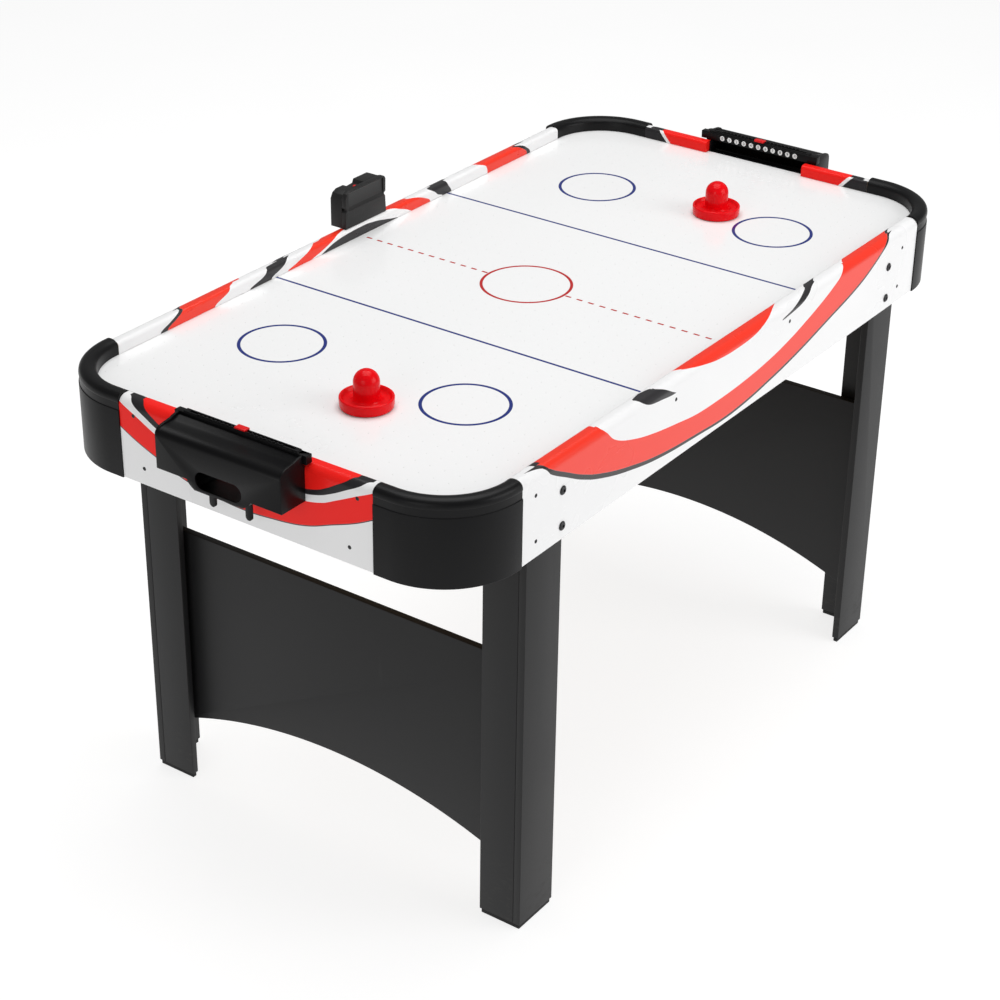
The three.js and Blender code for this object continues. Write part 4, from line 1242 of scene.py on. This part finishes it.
for end, sx in ENDS:
    disc = prism(arc(0, NUMBER_Z, 0.0046, 0, 360, 28)[:-1], "x", *sorted((sx * 0.70205, sx * 0.7017)))
    row_of(f"number_discs_{end}", NUMBERS, NUMBER_PITCH, ease(disc, 0.0001, 1, 60), disc_white)
    inner, outer = sorted((sx * 0.7104, sx * 0.7130))
    rib = brick((inner, -0.0022, 0.8030), (outer, 0.0022, 0.8050))
    row_of(f"click_ribs_{end}", 2 * NUMBERS - 1, NUMBER_PITCH / 2, ease(rib, 0.0005, 2), goal_black)
    digits = bmesh.new()
    for k in range(NUMBERS):
        curve = bpy.data.curves.new("digit", "FONT")
        curve.body, curve.size, curve.align_x, curve.align_y = str(k), 0.0075, "CENTER", "CENTER"
        curve.extrude, curve.resolution_u = 0.0001, 3
        if k == 10:
            curve.space_character, curve.size = 0.85, 0.0062
        text = bpy.data.objects.new("digit", curve)
        scene.collection.objects.link(text)
        bpy.context.view_layer.update()
        flat = bpy.data.meshes.new_from_object(text.evaluated_get(bpy.context.evaluated_depsgraph_get()))
        bpy.data.objects.remove(text)
        y = (FIRST_NUMBER + k * NUMBER_PITCH) * -sx
        stand = Matrix(((0, 0, -sx, 0), (-sx, 0, 0, 0), (0, 1, 0, 0), (0, 0, 0, 1)))
        flat.transform(Matrix.Translation((sx * 0.70165, y, NUMBER_Z)) @ stand)
        digits.from_mesh(flat)
        bpy.data.meshes.remove(flat)
    settle(f"digits_{end}", outward(digits), digit_ink)

# %% [markdown]
# ## The scorer
# The scorer stands on the +Y rail: a back shell with a step and a notch in its top, a front
# with a leaning display zone, a dark lens over it and a red button behind. The lens is a thin
# sheet of smoked plastic bent to follow the recess.

# %% Scorer shells, lens and button
for name, node in (("scorer_back_shell", "scorer_back"), ("scorer_front_shell", "scorer_front")):
    shell = ease(from_node(node), 0.0008, 3)
    settle(name, shell, scorer_black, nodes=[node], angle=28)
smoked = Finish("smoked_lens", specular_ior_level=0.35)
swirl = smoked.noise(60, 5, (1, 1, 1), 0.7)
smoked.feed(base_color=smoked.blend(swirl, (0.010, 0.010, 0.010), (0.016, 0.016, 0.016)))
smoked.feed(roughness=0.30 + swirl * 0.12).relief((swirl, 0.00002))
lens = prism([(0.3583, 0.8188), (0.3589, 0.8192), (0.3599, 0.8231), (0.3601, 0.8458), (0.3592, 0.8483),
              (0.3587, 0.8483), (0.3595, 0.8455), (0.3592, 0.8233)], "x", -0.0275, 0.0635)
settle("scorer_lens", ease(lens, 0.0002, 1, 50), smoked)
button = ease(from_node("scorer_button"), 0.0004, 3)
settle("reset_button", button, pointer_red, body="scorer_button",
       nodes=["scorer_button"])

# %% [markdown]
# ## Blower and power
# The blower is a bowl under the field with a fan inside, and the switch and inlet sit on the
# side apron. They keep the shapes of the frame with eased edges; the fan's straight blades are
# replaced with curved ones, laid round the hub by a tree.

# %% Blower and its fan
FAN_X, BLADES = -0.060, 12
for name, node, finish, slot in (
    ("blower_bowl", "blower_housing", blower_black, "blower_plastic"),
    ("air_grille", "blower_grille", blower_black, "blower_plastic"),
    ("motor_can", "blower_motor", motor_steel, "motor_steel"),
):
    settle(name, ease(from_node(node), 0.0005, 2), finish, nodes=[node])
settle("fan_shaft", ease(from_node("motor_shaft"), 0.0003, 2), motor_steel, body="impeller",
       nodes=["motor_shaft"])


def fan_blade():
    """One curved blade, standing from the inner to the outer radius."""
    centre = [(0.041 + 0.0205 * t, 0.0075 * math.sin(math.pi * 0.5 * t)) for t in (k / 8 for k in range(9))]
    rim_line = [(x, y + 0.0008) for x, y in centre] + [(x, y - 0.0008) for x, y in reversed(centre)]
    return prism(rim_line, "z", 0.6692, 0.6871)


blade = bpy.data.objects.new("blade_master", bpy.data.meshes.new("blade_master"))
made = fan_blade()
made.to_mesh(blade.data)
made.free()
scene.collection.objects.link(blade)
fan = Tree("fan_blades", **{
    "Blade": ("Object", blade), "Blades": ("Int", BLADES), "Finish": ("Material", blower_black.material)})
n = fan.node
points = n("GeometryNodePoints", None, {"Count": fan.input("Blades")})
number = n("GeometryNodeInputIndex")
angle = n("ShaderNodeMath", {"operation": "MULTIPLY"}, {0: number, 1: 2 * math.pi / BLADES})
spin = n("FunctionNodeAxisAngleToRotation", None, {"Axis": (0, 0, 1), "Angle": angle})
shape = n("GeometryNodeObjectInfo", None, {"Object": fan.input("Blade")}, out="Geometry")
placed = n("GeometryNodeInstanceOnPoints", None, {"Points": points, "Instance": shape, "Rotation": spin})
fan.finish(placed, fan.input("Finish"))
blades = fan.mesh()
bpy.data.objects.remove(blade)
for v in blades.verts:
    v.co.x += FAN_X
plate = lathe([(0.0027, 0.6866), (0.0615, 0.6866), (0.062, 0.6870), (0.062, 0.6892), (0.0615, 0.6896),
               (0.0027, 0.6896), (0.0027, 0.6866)], 64, FAN_X, 0)
fan_mesh = combined(outward(blades), [plate], "UNION")
settle("fan_wheel", fan_mesh, blower_black, body="impeller", nodes=["impeller"])

# %% Switch, inlet and plenum
for name, node, finish, body, slot in (
    ("switch_bezel", "switch_plate", inlet_black, "table", "inlet_plastic"),
    ("power_jack", "power_inlet", inlet_black, "table", "inlet_plastic"),
    ("power_switch", "rocker", pointer_red, "power_rocker", "switch_plastic"),
):
    settle(name, ease(from_node(node), 0.0004, 2), finish, body=body, nodes=[node])
for name, node in [("plenum_walls", "plenum_frame"), ("plenum_deck", "plenum_floor")] + [
        (f"block_{c}", f"corner_block_{c}") for c, _, _ in CORNERS]:
    settle(name, ease(from_node(node), 0.0008, 2), raw_board, nodes=[node])

# %% [markdown]
# ## Strikers
# A striker is a shallow dish with a round knob in the middle, moulded in one piece and stuck on
# a felt pad. It is a turned shape, so a fine profile and a lathe give it exactly.

# %% Turned strikers
for which, x, y in (("near", -0.493, -0.047), ("far", 0.441, -0.069)):
    z = (FIELD_TOP + CLEARANCE) / MM
    outer = softened([(39.3, z + 1.0), (39.9, z + 3.5), (40.3, z + 9), (40.45, z + 14), (40.2, z + 15.8),
                      (39.0, z + 16.9), (37.4, z + 16.5), (36.2, z + 15.0), (34.2, z + 11.2), (31.0, z + 9.0),
                      (26.5, z + 8.4), (22.6, z + 9.8), (20.2, z + 13.0), (19.6, z + 18), (19.5, z + 28),
                      (19.6, z + 38.4)], 4)
    under_side = [(0, z + 55.4)] + [(r, h) for r, h in arc(0, z + 38.4, 17, 90, 0, 10)][1:]
    under_side += [(17, z + 14), (20, z + 6), (33.4, z + 5.4), (34, z + 1.4), (34.4, z + 1.0),
                   (39.3, z + 1.0)]
    knob = [(19.6 * math.cos(a), z + 38.4 + 19.6 * math.sin(a)) for a in map(math.radians, range(5, 90, 5))]
    line = [(r * MM, h * MM) for r, h in outer + knob + [(0, z + 58)] + under_side]
    settle(f"mallet_{which}", lathe(line, 96, x, y), striker_red, body=f"striker_{which}",
           nodes=[f"striker_{which}"], angle=40)
    pad = lathe([(0, z * MM), (0.0322, z * MM), (0.0328, (z + 0.6) * MM), (0.0328, (z + 3.0) * MM),
                 (0.0322, (z + 3.5) * MM), (0, (z + 3.5) * MM)], 72, x, y)
    settle(f"felt_pad_{which}", pad, grey_felt, body=f"striker_{which}",
           nodes=[f"striker_pad_{which}"])

# %% [markdown]
# ## Finish
# The last cell prints the frame nodes that are still shown.

# %% Frame nodes still shown
shown = [o.name for o in frame["nodes"].values() if not o.hide_render]
print("frame nodes still shown:", shown)
